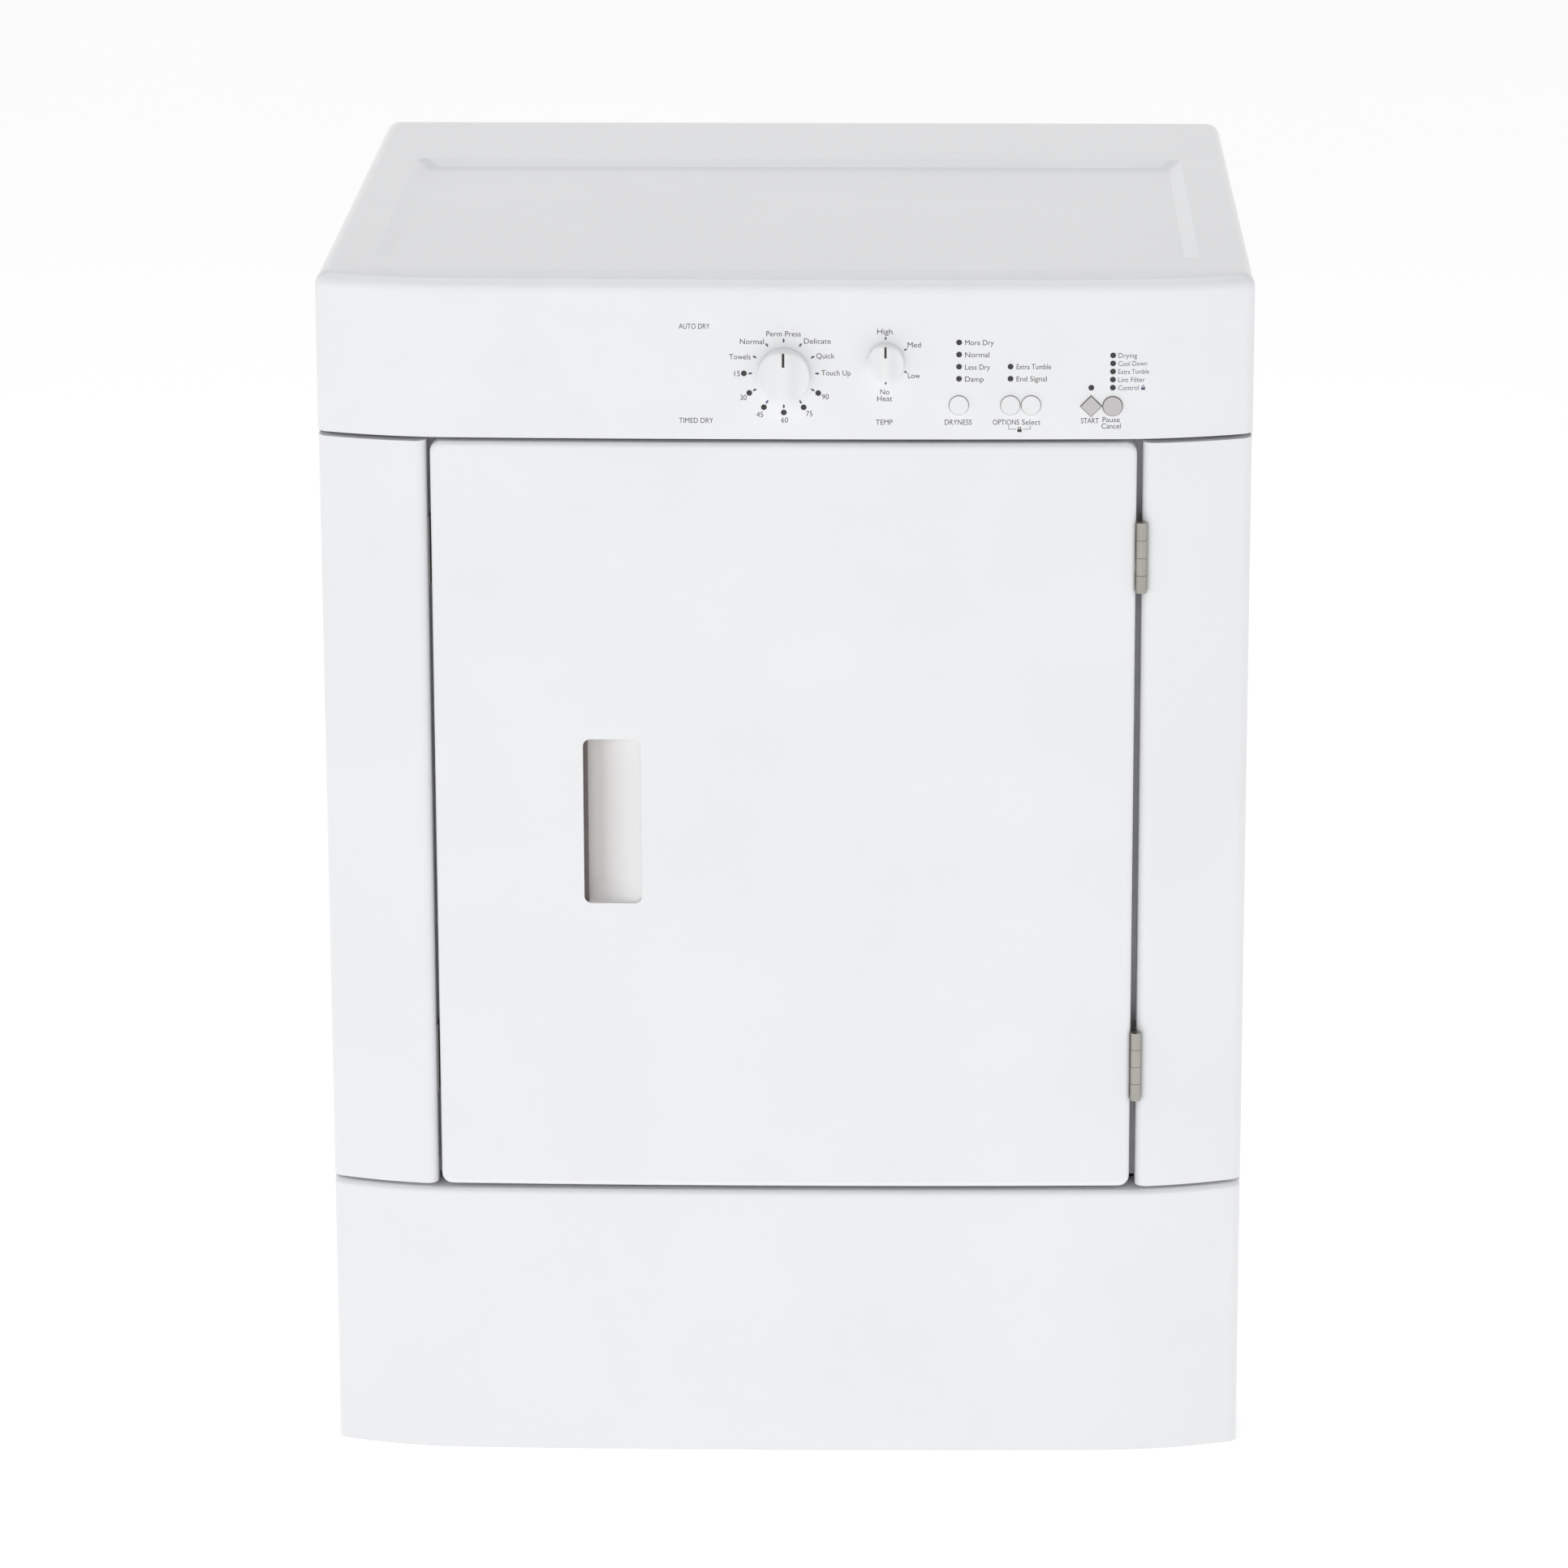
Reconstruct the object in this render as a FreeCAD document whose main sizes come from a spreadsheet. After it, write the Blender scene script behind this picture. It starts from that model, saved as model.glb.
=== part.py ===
import FreeCAD, Part
import math
import os
import re
import Sketcher

# Front-control vented clothes dryer, millimetres, +Z up, front towards -Y.
# The origin is the middle of the footprint on the floor. Driving sizes live in the spreadsheet,
# places are formulas of them, and every sub-part is bound to both.

V = FreeCAD.Vector
doc = FreeCAD.newDocument("clothes_dryer")

SIZES = {
    # cabinet
    "cabinet_width": 686, "cabinet_height": 914, "cabinet_depth": 650,
    "sheet_wall": 1, "foot_gap": 10, "front_return": 14, "seam_gap": 3.5,
    # bowed front
    "front_bulge": 25.5, "crown_radius": 8300, "shoulder_inset": 102, "corner_round": 11,
    # front pieces
    "kick_bottom": 8, "kick_top": 216, "kick_roll": 4, "console_height": 118, "console_wall": 2.5,
    "console_overhang": 0.5, "console_roll": 10, "column_width": 80.5, "column_roll": 8,
    "recess_depth": 10, "top_rim": 30,
    # well in the top panel
    "well_depth": 5, "well_side": 38, "well_front": 64, "well_bow": 19, "well_rear": 176,
    "well_corner": 20, "well_slope": 10,
    # door
    "door_gap_left": 3, "door_gap_right": 4.5, "door_round": 8, "door_roll": 4, "door_back": 6,
    "door_plate": 1.5,
    "plug_length": 22, "plug_clearance": 10, "plug_wall": 1.5, "gasket_width": 12,
    # handle recess in the door
    "handle_left": 149.5, "handle_width": 43, "handle_rise": 222.3, "handle_tall": 126.3,
    "handle_deep": 17, "handle_undercut": 8, "handle_round": 5.5, "cup_wall": 2,
    # hinges
    "hinge_barrel": 4, "hinge_tall": 53, "hinge_slack": 0.3, "hinge_pin": 2, "pin_clearance": 0.06,
    "hinge_drop": 85.5, "hinge_lift": 95.5, "hinge_proud": 2, "hinge_leaf": 1,
    # drum and what carries it
    "drum_floor": 227, "drum_roof_space": 51, "drum_side_gap": 24, "drum_wall": 1,
    "drum_front": 78, "drum_rear_space": 70, "neck_step": 68, "neck_length": 14, "neck_slope": 34,
    "drum_hole": 5, "lifter_height": 60, "lifter_half": 38, "shaft_radius": 8, "bearing_radius": 30,
    "running_clearance": 0.06, "seal_gap": 0.3,
    "bulkhead_front": 70, "throat_step": 60, "throat_drop": 15, "throat_wall": 2,
    # heater
    "heater_radius": 200, "heater_deep": 45, "element_radius": 160, "element_wire": 3.5,
    # lint duct and filter
    "filter_inset": 80, "filter_tall": 200, "filter_thick": 14, "filter_front": 53, "filter_bar": 8,
    "duct_left": 190, "duct_side_gap": 14, "duct_bottom": 40, "duct_wall": 1.5,
    # motor, blower and exhaust
    "motor_space": 7, "motor_level": 115, "motor_radius": 62, "motor_start": 140, "motor_length": 160,
    "rotor_shaft": 6, "pulley_radius": 10, "pulley_back": 313, "pulley_wide": 14,
    "blower_radius": 95, "blower_deep": 60, "wheel_radius": 84, "wheel_gap": 6, "inlet_radius": 60,
    "blade_count": 24,
    "blade_deep": 24, "blade_half": 0.6, "wheel_back": 2, "hub_length": 20,
    "pipe_radius": 51, "pipe_wall": 1, "pipe_rise": 21, "pipe_reach": 30,
    "spigot_gap": 1.5,
    # belt drive
    "belt_wide": 10, "belt_thick": 2.4, "idler_left": 180, "idler_level": 190, "idler_radius": 20,
    "arm_left": 235, "arm_level": 70, "arm_boss": 10, "arm_pin": 5,
    # controls
    "knob_reach": 44, "cycle_rise": 49, "cycle_radius": 19, "cycle_skirt": 4, "grip_half": 3.2,
    "grip_taper": 1.2, "temp_right": 74.2, "temp_rise": 58.6, "temp_radius": 13.25, "temp_reach": 13,
    "knob_shaft": 3, "bushing_radius": 8, "button_radius": 6.9, "button_proud": 1.6,
    "button_clearance": 0.2, "button_flange": 0.45, "button_rise": 25.5, "dryness_right": 127.6,
    "options_right": 165.1, "button_space": 0.4, "start_right": 224, "pause_space": 1.5,
    "start_rise": 24.7, "start_half": 7.3, "lens_radius": 2, "lens_clearance": 0.1,
    "dial_lens_reach": 29, "dial_lens_count": 6,
    "board_front": 10, "board_thick": 1.6, "boss_front": 20,
    "lens_rise": 45.2, "lens_step": 9, "status_rise": 38.4, "status_step": 6,
    # feet, fastenings and mains inlet
    "leg_inset": 43, "leg_boss": 36, "leg_front": 40, "leg_rear": 40, "leg_radius": 16, "stud_radius": 4.7,
    "louvre_rise": 250, "louvre_step": 14, "louvre_tall": 5, "louvre_half": 35,
    "stud_top": 48, "screw_radius": 4, "inlet_bore": 11.1, "inlet_inset": 103, "inlet_level": 45,
}

PLACES = {
    "front_y": "-(cabinet_depth + pipe_reach - knob_reach) / 2",
    "back_y": "front_y + cabinet_depth",
    "half_width": "cabinet_width / 2",
    "inner_half": "half_width - sheet_wall",
    "return_y": "front_y + front_return",
    "console_bottom": "cabinet_height - console_height",
    "column_top": "console_bottom - seam_gap",
    "column_bottom": "kick_top + seam_gap",
    "rim_bottom": "cabinet_height - top_rim",
    "column_edge": "half_width - column_width",
    "handle_bottom": "column_bottom + handle_rise",
    "upper_hinge": "column_top - hinge_drop",
    "lower_hinge": "column_bottom + hinge_lift",
    "plate_y": "front_y + recess_depth",
    "door_y": "front_y + door_back",
    "door_left": "-column_edge + door_gap_left",
    "door_right": "column_edge - door_gap_right",
    "hinge_x": "column_edge - 0.5",
    "hinge_y": "front_y - 19.5 - hinge_proud",
    "drum_radius": "min(half_width - sheet_wall - drum_side_gap;"
                   " (cabinet_height - drum_roof_space - drum_floor) / 2)",
    "drum_level": "drum_floor + drum_radius",
    "neck_radius": "drum_radius - neck_step",
    "ring_radius": "neck_radius - 4",
    "throat_radius": "neck_radius - throat_step",
    "throat_level": "drum_level - throat_drop",
    "plug_radius": "throat_radius - plug_clearance",
    "bulkhead_y": "front_y + bulkhead_front",
    "drum_start": "front_y + drum_front",
    "drum_end": "back_y - drum_rear_space",
    "heater_y": "back_y - sheet_wall - heater_deep",
    "filter_half": "throat_radius - filter_inset",
    "filter_top": "throat_level - sqrt(throat_radius ^ 2 - (filter_half + 2) ^ 2) - 3",
    "filter_bottom": "filter_top - filter_tall",
    "filter_y": "front_y + filter_front",
    "duct_right": "filter_half + duct_side_gap",
    "motor_left": "pipe_radius + motor_radius + motor_space",
    "pipe_level": "pipe_radius + pipe_rise",
    "leg_side": "half_width - leg_inset",
    "inlet_right": "half_width - inlet_inset",
    "motor_y": "front_y + motor_start",
    "pulley_y": "front_y + pulley_back",
    "blower_y": "bulkhead_y",
    "blower_end": "blower_y + blower_deep",
    "belt_y": "pulley_y + (pulley_wide - belt_wide) / 2",
    "cycle_level": "console_bottom + cycle_rise",
    "temp_level": "console_bottom + temp_rise",
    "button_level": "console_bottom + button_rise",
    "start_level": "console_bottom + start_rise",
    "lens_level": "console_bottom + lens_rise",
    "status_level": "console_bottom + status_rise",
    "select_right": "options_right + 2 * (button_radius + button_flange) + button_space",
    "pause_right": "start_right + start_half + button_radius + pause_space",
    "boss_y": "front_y - boss_front",
    "board_y": "front_y - board_front",
    "board_left": "dryness_right - 15.6",
    "board_right": "pause_right + 14",
    "board_low": "start_level - 13",
    "board_top": "lens_level + 3 * lens_step + 9",
    "catch_x": "-throat_radius - 32",
    "arm_y": "pulley_y + pulley_wide + 1",
}

# ---------------------------------------------------------------- sheet and formulas


def fill_sheet():
    """Write every driving size to the spreadsheet under its own alias."""
    made = doc.addObject("Spreadsheet::Sheet", "sizes")
    for row, (alias, number) in enumerate(SIZES.items(), start=1):
        made.set(f"A{row}", alias)
        made.set(f"B{row}", str(number))
        made.setAlias(f"B{row}", alias)
    doc.recompute()
    return made


sheet = fill_sheet()


def formula(text):
    """Turn words that name sizes or places into one expression on the sheet."""
    def swap(match):
        word = match.group(0)
        if word in SIZES:
            return "sizes." + word
        if word in PLACES:
            return "(" + formula(PLACES[word]) + ")"
        return word
    return re.sub(r"[a-z][a-z_0-9]*", swap, str(text))


def number(text):
    """The present value of a formula, in millimetres."""
    return float(sheet.evalExpression(formula(text)))


# ---------------------------------------------------------------- building blocks

TURN = {
    "Z": FreeCAD.Rotation(),
    "Y": FreeCAD.Rotation(V(1, 0, 0), -90),
    "X": FreeCAD.Rotation(V(0, 1, 0), 90),
}


def place(made, at, turn="Z"):
    """Put an object at three formulas, its own Z axis turned along X, Y or Z."""
    made.Placement = FreeCAD.Placement(V(), TURN[turn])
    for letter, text in zip("xyz", at):
        made.setExpression("Placement.Base." + letter, formula(text))
    return made


def block(name, x_range, y_range, z_range):
    """A box between three pairs of formulas."""
    made = doc.addObject("Part::Box", name)
    sides = zip(("Length", "Width", "Height"), (x_range, y_range, z_range))
    for side, (low, high) in sides:
        made.setExpression(side, formula(f"({high}) - ({low})"))
    return place(made, (x_range[0], y_range[0], z_range[0]))


def rod(name, radius, axis, at, length):
    """A cylinder that starts at a point and runs along +X, +Y or +Z."""
    made = doc.addObject("Part::Cylinder", name)
    made.setExpression("Radius", formula(radius))
    made.setExpression("Height", formula(length))
    return place(made, at, axis)


def ring(name, centre, ring_radius, wire_radius):
    """A torus round the Y axis direction."""
    made = doc.addObject("Part::Torus", name)
    made.setExpression("Radius1", formula(ring_radius))
    made.setExpression("Radius2", formula(wire_radius))
    return place(made, centre, "Y")


def fuse(name, *shapes):
    made = doc.addObject("Part::MultiFuse", name)
    made.Shapes = list(shapes)
    made.Refine = True
    return made


def cut(name, base, *tools):
    """Take tools away from a base, one after another."""
    for index, tool in enumerate(tools, start=1):
        last = index == len(tools)
        made = doc.addObject("Part::Cut", name if last else f"{name}_cut_{index}")
        made.Base = base
        made.Tool = tool
        base = made
    return base


def common(name, first, second):
    made = doc.addObject("Part::Common", name)
    made.Base = first
    made.Tool = second
    return made


def group(name, *shapes):
    """Separate solids kept in one sub-part."""
    made = doc.addObject("Part::Compound", name)
    made.Links = list(shapes)
    return made


def tube(name, outer, bore, axis, at, length):
    """A round sleeve: its bore runs 1 mm past both ends of the cut."""
    shift = {"X": (1, 0, 0), "Y": (0, 1, 0), "Z": (0, 0, 1)}[axis]
    start = [f"({text}) - {step}" for text, step in zip(at, shift)]
    body = rod(name + "_outer", outer, axis, at, length)
    hole = rod(name + "_bore", bore, axis, start, f"({length}) + 2")
    return cut(name, body, hole)


SUBPARTS = []


def subpart(made):
    """Keep an object as a finished sub-part, labelled with its own name."""
    made.Label = made.Name
    SUBPARTS.append(made)
    return made


# ---------------------------------------------------------------- sketches


def origin_plane(body, role):
    for feature in body.Origin.OriginFeatures:
        if feature.Role == role:
            return feature
    raise ValueError("no plane " + role)


def new_sketch(body, name, role, offset="0"):
    """A sketch on one origin plane of its own body, moved along the plane's normal."""
    sketch = body.newObject("Sketcher::SketchObject", name)
    sketch.AttachmentSupport = (origin_plane(body, role), "")
    sketch.MapMode = "FlatFace"
    sketch.setExpression("AttachmentOffset.Base.z", formula(offset))
    return sketch


def hold(sketch, kind, *where, text, label):
    """A dimension bound to a formula."""
    index = sketch.addConstraint(Sketcher.Constraint(kind, *where, number(text)))
    sketch.renameConstraint(index, label)
    sketch.setExpression("Constraints." + label, formula(text))


def polygon(sketch, points):
    """Close straight lines through points, each point held by two bound dimensions."""
    places = [V(number(across), number(along), 0) for across, along in points]
    first = sketch.GeometryCount
    count = len(points)
    for index in range(count):
        line = Part.LineSegment(places[index], places[(index + 1) % count])
        sketch.addGeometry(line, False)
    for index in range(count):
        joined = first + (index + 1) % count
        sketch.addConstraint(Sketcher.Constraint("Coincident", first + index, 2, joined, 1))
    for index, (across, along) in enumerate(points):
        edge = first + index
        hold(sketch, "DistanceX", -1, 1, edge, 1, text=across, label=f"across_{edge}")
        hold(sketch, "DistanceY", -1, 1, edge, 1, text=along, label=f"along_{edge}")


def bow_outline(sketch, half, inset):
    """The space ahead of the bowed front: three tangent arcs, closed far ahead of the cabinet."""
    radius = number("crown_radius")
    shoulder = number(f"{half} - shoulder_inset")
    base = number(f"front_y + {inset}")
    reach = number(half)
    middle = V(0, base - number("front_bulge") + radius, 0)
    drop = math.sqrt(radius ** 2 - shoulder ** 2)
    joint = V(shoulder, middle.y - drop, 0)
    end = V(reach, base, 0)
    inward = (middle - joint).normalize()
    chord = end - joint
    side_radius = chord.Length ** 2 / (2 * chord.dot(inward))
    side = joint + inward * side_radius
    ends = [V(-end.x, end.y, 0), V(-joint.x, joint.y, 0), joint, end]
    centres = [V(-side.x, side.y, 0), middle, side]
    radii = [side_radius, radius, side_radius]
    for index in range(3):
        centre = centres[index]
        start = ends[index] - centre
        stop = ends[index + 1] - centre
        circle = Part.Circle(centre, V(0, 0, 1), radii[index])
        arc = Part.ArcOfCircle(circle, math.atan2(start.y, start.x), math.atan2(stop.y, stop.x))
        sketch.addGeometry(arc, False)
    ahead = base - number("front_bulge") - 60
    corners = [ends[3], V(reach + 20, ahead, 0), V(-reach - 20, ahead, 0), ends[0]]
    for index in range(3):
        sketch.addGeometry(Part.LineSegment(corners[index], corners[index + 1]), False)
    add = sketch.addConstraint
    add(Sketcher.Constraint("Tangent", 0, 2, 1, 1))
    add(Sketcher.Constraint("Tangent", 1, 2, 2, 1))
    for index in (2, 3, 4):
        add(Sketcher.Constraint("Coincident", index, 2, index + 1, 1))
    add(Sketcher.Constraint("Coincident", 5, 2, 0, 1))
    add(Sketcher.Constraint("PointOnObject", 1, 3, -2))
    hold(sketch, "Radius", 1, text="crown_radius", label="crown")
    hold(sketch, "DistanceY", -1, 1, 1, 3,
         text=f"front_y + {inset} - front_bulge + crown_radius", label="crown_centre")
    hold(sketch, "DistanceX", -1, 1, 2, 1, text=f"{half} - shoulder_inset", label="shoulder_right")
    hold(sketch, "DistanceX", -1, 1, 1, 1, text=f"shoulder_inset - ({half})", label="shoulder_left")
    for index, geometry, point, sign in ((0, 2, 2, ""), (1, 0, 1, "-")):
        hold(sketch, "DistanceX", -1, 1, geometry, point, text=f"{sign}({half})", label=f"end_{index}")
        hold(sketch, "DistanceY", -1, 1, geometry, point, text=f"front_y + {inset}", label=f"level_{index}")
    for index, geometry, sign in ((0, 3, ""), (1, 4, "-")):
        hold(sketch, "DistanceX", -1, 1, geometry, 2, text=f"{sign}({half} + 20)", label=f"far_{index}")
        hold(sketch, "DistanceY", -1, 1, geometry, 2,
             text=f"front_y + {inset} - front_bulge - 60", label=f"ahead_{index}")


def round_edges(body, name, base, radius, wanted):
    """Fillet the edges of the last feature that a test picks."""
    doc.recompute()
    names = [f"Edge{index}" for index, edge in enumerate(base.Shape.Edges, start=1) if wanted(edge)]
    made = body.newObject("PartDesign::Fillet", name)
    made.Base = (base, names)
    made.setExpression("Radius", formula(radius))
    return made


def is_along(edge, axis):
    """A straight edge along one axis (0, 1 or 2)."""
    if edge.Curve.TypeId != "Part::GeomLine":
        return False
    direction = edge.tangentAt(edge.FirstParameter)
    return abs(direction[axis]) > 0.999


def near(value, wanted, slack=0.05):
    return abs(value - wanted) < slack


def bowed_block(name, x_range, z_range, back, half="half_width", inset="0"):
    """A body between four sides whose front follows the bowed plan, inset from the skin."""
    body = doc.addObject("PartDesign::Body", name)
    outline = new_sketch(body, name + "_outline", "XZ_Plane", f"-({back})")
    corners = [(x_range[0], z_range[0]), (x_range[1], z_range[0]),
               (x_range[1], z_range[1]), (x_range[0], z_range[1])]
    polygon(outline, corners)
    pad = body.newObject("PartDesign::Pad", name + "_pad")
    pad.Profile = outline
    pad.setExpression("Length", formula(f"({back}) - (front_y - front_bulge - 20)"))
    bow = new_sketch(body, name + "_bow", "XY_Plane")
    bow_outline(bow, half, inset)
    pocket = body.newObject("PartDesign::Pocket", name + "_front")
    pocket.Profile = bow
    pocket.Type = 1
    pocket.Midplane = True
    return body, pocket


def roll_vertical(body, name, base, radius, places):
    """Round the upright edges that stand at the front of given x places."""
    spots = [number(text) for text in places]
    limit = number("front_y") + 6

    def wanted(edge):
        middle = edge.CenterOfMass
        return is_along(edge, 2) and middle.y < limit and any(near(middle.x, spot) for spot in spots)
    return round_edges(body, name, base, radius, wanted)


def roll_level(body, name, base, radius, level):
    """Round every edge of the front and its sides that lies at one height."""
    height = number(level)
    doc.recompute()
    back = base.Shape.BoundBox.YMax

    def wanted(edge):
        box = edge.BoundBox
        flat = near(box.ZMin, height) and near(box.ZMax, height)
        return flat and box.YMin < back - 0.5
    return round_edges(body, name, base, radius, wanted)


def flat_block(name, x_range, y_range, z_range):
    """A padded rectangle that later features can round."""
    body = doc.addObject("PartDesign::Body", name)
    outline = new_sketch(body, name + "_outline", "XZ_Plane", f"-({y_range[1]})")
    polygon(outline, [(x_range[0], z_range[0]), (x_range[1], z_range[0]),
                      (x_range[1], z_range[1]), (x_range[0], z_range[1])])
    pad = body.newObject("PartDesign::Pad", name + "_pad")
    pad.Profile = outline
    pad.setExpression("Length", formula(f"({y_range[1]}) - ({y_range[0]})"))
    return body, pad


def rounded_plate(name, x_range, y_range, z_range, radius):
    """A flat block whose four corners are round when seen from the front."""
    body, pad = flat_block(name, x_range, y_range, z_range)
    round_edges(body, name + "_corners", pad, radius, lambda edge: is_along(edge, 1))
    return body


def circle_sketch(body, name, radius, centre=("0", "0"), role="XY_Plane", offset="0"):
    """One bound circle on an origin plane."""
    sketch = new_sketch(body, name, role, offset)
    middle = V(number(centre[0]), number(centre[1]), 0)
    sketch.addGeometry(Part.Circle(middle, V(0, 0, 1), number(radius)), False)
    hold(sketch, "Radius", 0, text=radius, label="radius")
    hold(sketch, "DistanceX", -1, 1, 0, 3, text=centre[0], label="across")
    hold(sketch, "DistanceY", -1, 1, 0, 3, text=centre[1], label="along")
    return sketch


def pad_of(body, name, sketch, length, reverse=False):
    pad = body.newObject("PartDesign::Pad", name)
    pad.Profile = sketch
    pad.Reversed = reverse
    pad.setExpression("Length", formula(length))
    return pad


def polar(body, name, feature, sketch, count):
    """Repeat a feature round the sketch's normal."""
    doc.recompute()
    made = body.newObject("PartDesign::PolarPattern", name)
    made.Originals = [feature]
    made.Axis = (sketch, ["N_Axis"])
    made.Angle = 360
    made.setExpression("Occurrences", formula(count))
    body.Tip = made
    return made


def face_y(across):
    """The y of the bowed skin at one x, inside the shoulders."""
    return f"(front_y - front_bulge + crown_radius - sqrt(crown_radius ^ 2 - ({across}) ^ 2))"


# ---------------------------------------------------------------- cabinet skins


def side_panels():
    for name, inner, outer in (("side_panel_left", "-inner_half", "-half_width"),
                               ("side_panel_right", "inner_half", "half_width")):
        edges = sorted((inner, outer), key=number)
        subpart(block(name, edges, ("return_y", "back_y"), ("foot_gap", "rim_bottom")))


def rear_panel():
    sheet_box = block("rear_panel_sheet", ("-inner_half", "inner_half"),
                      ("back_y - sheet_wall", "back_y"), ("foot_gap", "rim_bottom"))
    start = "back_y - sheet_wall - 1"
    pipe_hole = rod("rear_panel_pipe_hole", "pipe_radius + 0.5", "Y", ("0", start, "pipe_level"),
                    "sheet_wall + 2")
    cord_hole = rod("rear_panel_cord_hole", "inlet_bore", "Y", ("inlet_right", start, "inlet_level"),
                    "sheet_wall + 2")
    slots = []
    for row in range(6):
        low = f"inlet_level + louvre_rise + {row} * louvre_step"
        across = ("inlet_right - louvre_half", "inlet_right + louvre_half")
        slots.append(block(f"rear_panel_louvre_{row}", across, (start, "back_y + 1"),
                           (low, f"{low} + louvre_tall")))
    subpart(cut("rear_panel", sheet_box, pipe_hole, cord_hole, group("rear_panel_louvres", *slots)))


LEGS = {
    "leg_front_left": ("-leg_side", "front_y + leg_front"),
    "leg_front_right": ("leg_side", "front_y + leg_front"),
    "leg_rear_left": ("-leg_side", "back_y - leg_rear"),
    "leg_rear_right": ("leg_side", "back_y - leg_rear"),
}


def base_pan():
    outer = block("base_pan_outer", ("-inner_half", "inner_half"),
                  ("return_y", "back_y - sheet_wall"), ("foot_gap", "foot_gap + 30"))
    hollow = block("base_pan_hollow", ("-inner_half + sheet_wall", "inner_half - sheet_wall"),
                   ("return_y + sheet_wall", "back_y - 2 * sheet_wall"),
                   ("foot_gap + sheet_wall", "foot_gap + 31"))
    tray = cut("base_pan_tray", outer, hollow)
    bosses = []
    holes = []
    for name, (across, along) in LEGS.items():
        at = (across, along, "foot_gap")
        below = (across, along, "foot_gap - 1")
        bosses.append(rod(f"base_pan_boss_{name}", "stud_radius + 6", "Z", at, "leg_boss"))
        holes.append(rod(f"base_pan_hole_{name}", "stud_radius + 0.3", "Z", below, "leg_boss + 14"))
    solid = fuse("base_pan_bosses", tray, *bosses)
    notch = rod("base_pan_notch", "pipe_radius + 0.5", "Y", ("0", "back_y - 12", "pipe_level"), "14")
    subpart(cut("base_pan", solid, group("base_pan_holes", *holes), notch))


def well_outline(sketch, inset):
    """Rectangle whose front side bows towards the console."""
    half = f"(half_width - well_side - {inset})"
    front = f"(front_y + well_front + {inset})"
    rear = f"(back_y - well_rear - {inset})"
    radius = f"(({half} ^ 2 + well_bow ^ 2) / (2 * well_bow))"
    centre = f"({front} - well_bow + {radius})"
    reach = number(half)
    circle = Part.Circle(V(0, number(centre), 0), V(0, 0, 1), number(radius))
    swing = math.asin(reach / number(radius))
    sketch.addGeometry(Part.ArcOfCircle(circle, -math.pi / 2 - swing, -math.pi / 2 + swing), False)
    corners = [V(reach, number(front), 0), V(reach, number(rear), 0),
               V(-reach, number(rear), 0), V(-reach, number(front), 0)]
    for index in range(3):
        sketch.addGeometry(Part.LineSegment(corners[index], corners[index + 1]), False)
    for index in range(4):
        sketch.addConstraint(Sketcher.Constraint("Coincident", index, 2, (index + 1) % 4, 1))
    hold(sketch, "DistanceY", -1, 1, 0, 3, text=centre, label="bow_centre")
    places = ((1, 1, half, front), (2, 1, half, rear), (3, 1, "-" + half, rear), (3, 2, "-" + half, front))
    for index, (line, point, across, along) in enumerate(places):
        hold(sketch, "DistanceX", -1, 1, line, point, text=across, label=f"across_{index}")
        hold(sketch, "DistanceY", -1, 1, line, point, text=along, label=f"along_{index}")


def well_solid(name, grow, floor):
    """A shallow dish: wide at the top, one slope narrower at its floor."""
    body = doc.addObject("PartDesign::Body", name)
    rim = new_sketch(body, name + "_rim", "XY_Plane", f"{floor} + well_depth")
    well_outline(rim, f"(0 - {grow})")
    base = new_sketch(body, name + "_base", "XY_Plane", floor)
    well_outline(base, f"(well_slope - {grow})")
    loft = body.newObject("PartDesign::AdditiveLoft", name + "_loft")
    loft.Profile = base
    loft.Sections = [rim]
    loft.Ruled = True

    def slanted(edge):
        box = edge.BoundBox
        return box.ZLength > number("well_depth") - 0.5
    round_edges(body, name + "_corners", loft, "well_corner", slanted)
    return body


def rolled_cover(name, half, front, back, low, top, roll):
    """A block whose two long top edges and rear edges are rolled."""
    body, pad = flat_block(name, (f"-({half})", half), (front, back), (low, top))
    rear = number(back)
    height = number(top)

    def upright(edge):
        return is_along(edge, 2) and near(edge.CenterOfMass.y, rear)
    corners = round_edges(body, name + "_corners", pad, f"{roll} + 1", upright)

    def rim(edge):
        box = edge.BoundBox
        front_edge = near(box.YMax, number(front))
        return near(box.ZMin, height) and near(box.ZMax, height) and not front_edge
    round_edges(body, name + "_rim", corners, roll, rim)
    return body


def top_panel():
    outer = rolled_cover("top_panel_outer", "half_width", "return_y", "back_y",
                         "rim_bottom", "cabinet_height", "console_roll")
    inner = rolled_cover("top_panel_inner", "inner_half", "return_y - 1", "back_y - sheet_wall",
                         "rim_bottom - 1", "cabinet_height - sheet_wall",
                         "(console_roll - sheet_wall)")
    dish = well_solid("top_panel_dish", "sheet_wall", "(cabinet_height - well_depth - sheet_wall)")
    hollow = cut("top_panel_hollow", inner, dish)
    shell = cut("top_panel_shell", outer, hollow)
    well = well_solid("top_panel_well", "0", "(cabinet_height - well_depth)")
    subpart(cut("top_panel", shell, well))


def kick_shape(name, half, low, top, back, inset, corner, roll):
    body, base = bowed_block(name, (f"-({half})", half), (low, top), back, half, inset)
    sides = roll_vertical(body, name + "_sides", base, corner, (f"-({half})", half))
    roll_level(body, name + "_roll", sides, roll, top)
    return body


def kick_panel():
    outer = kick_shape("kick_panel_outer", "half_width", "kick_bottom", "kick_top", "return_y",
                       "0", "corner_round", "kick_roll")
    inner = kick_shape("kick_panel_inner", "inner_half", "kick_bottom + sheet_wall",
                       "kick_top - sheet_wall", "return_y + 1", "sheet_wall",
                       "(corner_round - sheet_wall)", "(kick_roll - sheet_wall)")
    subpart(cut("kick_panel", outer, inner))


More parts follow.
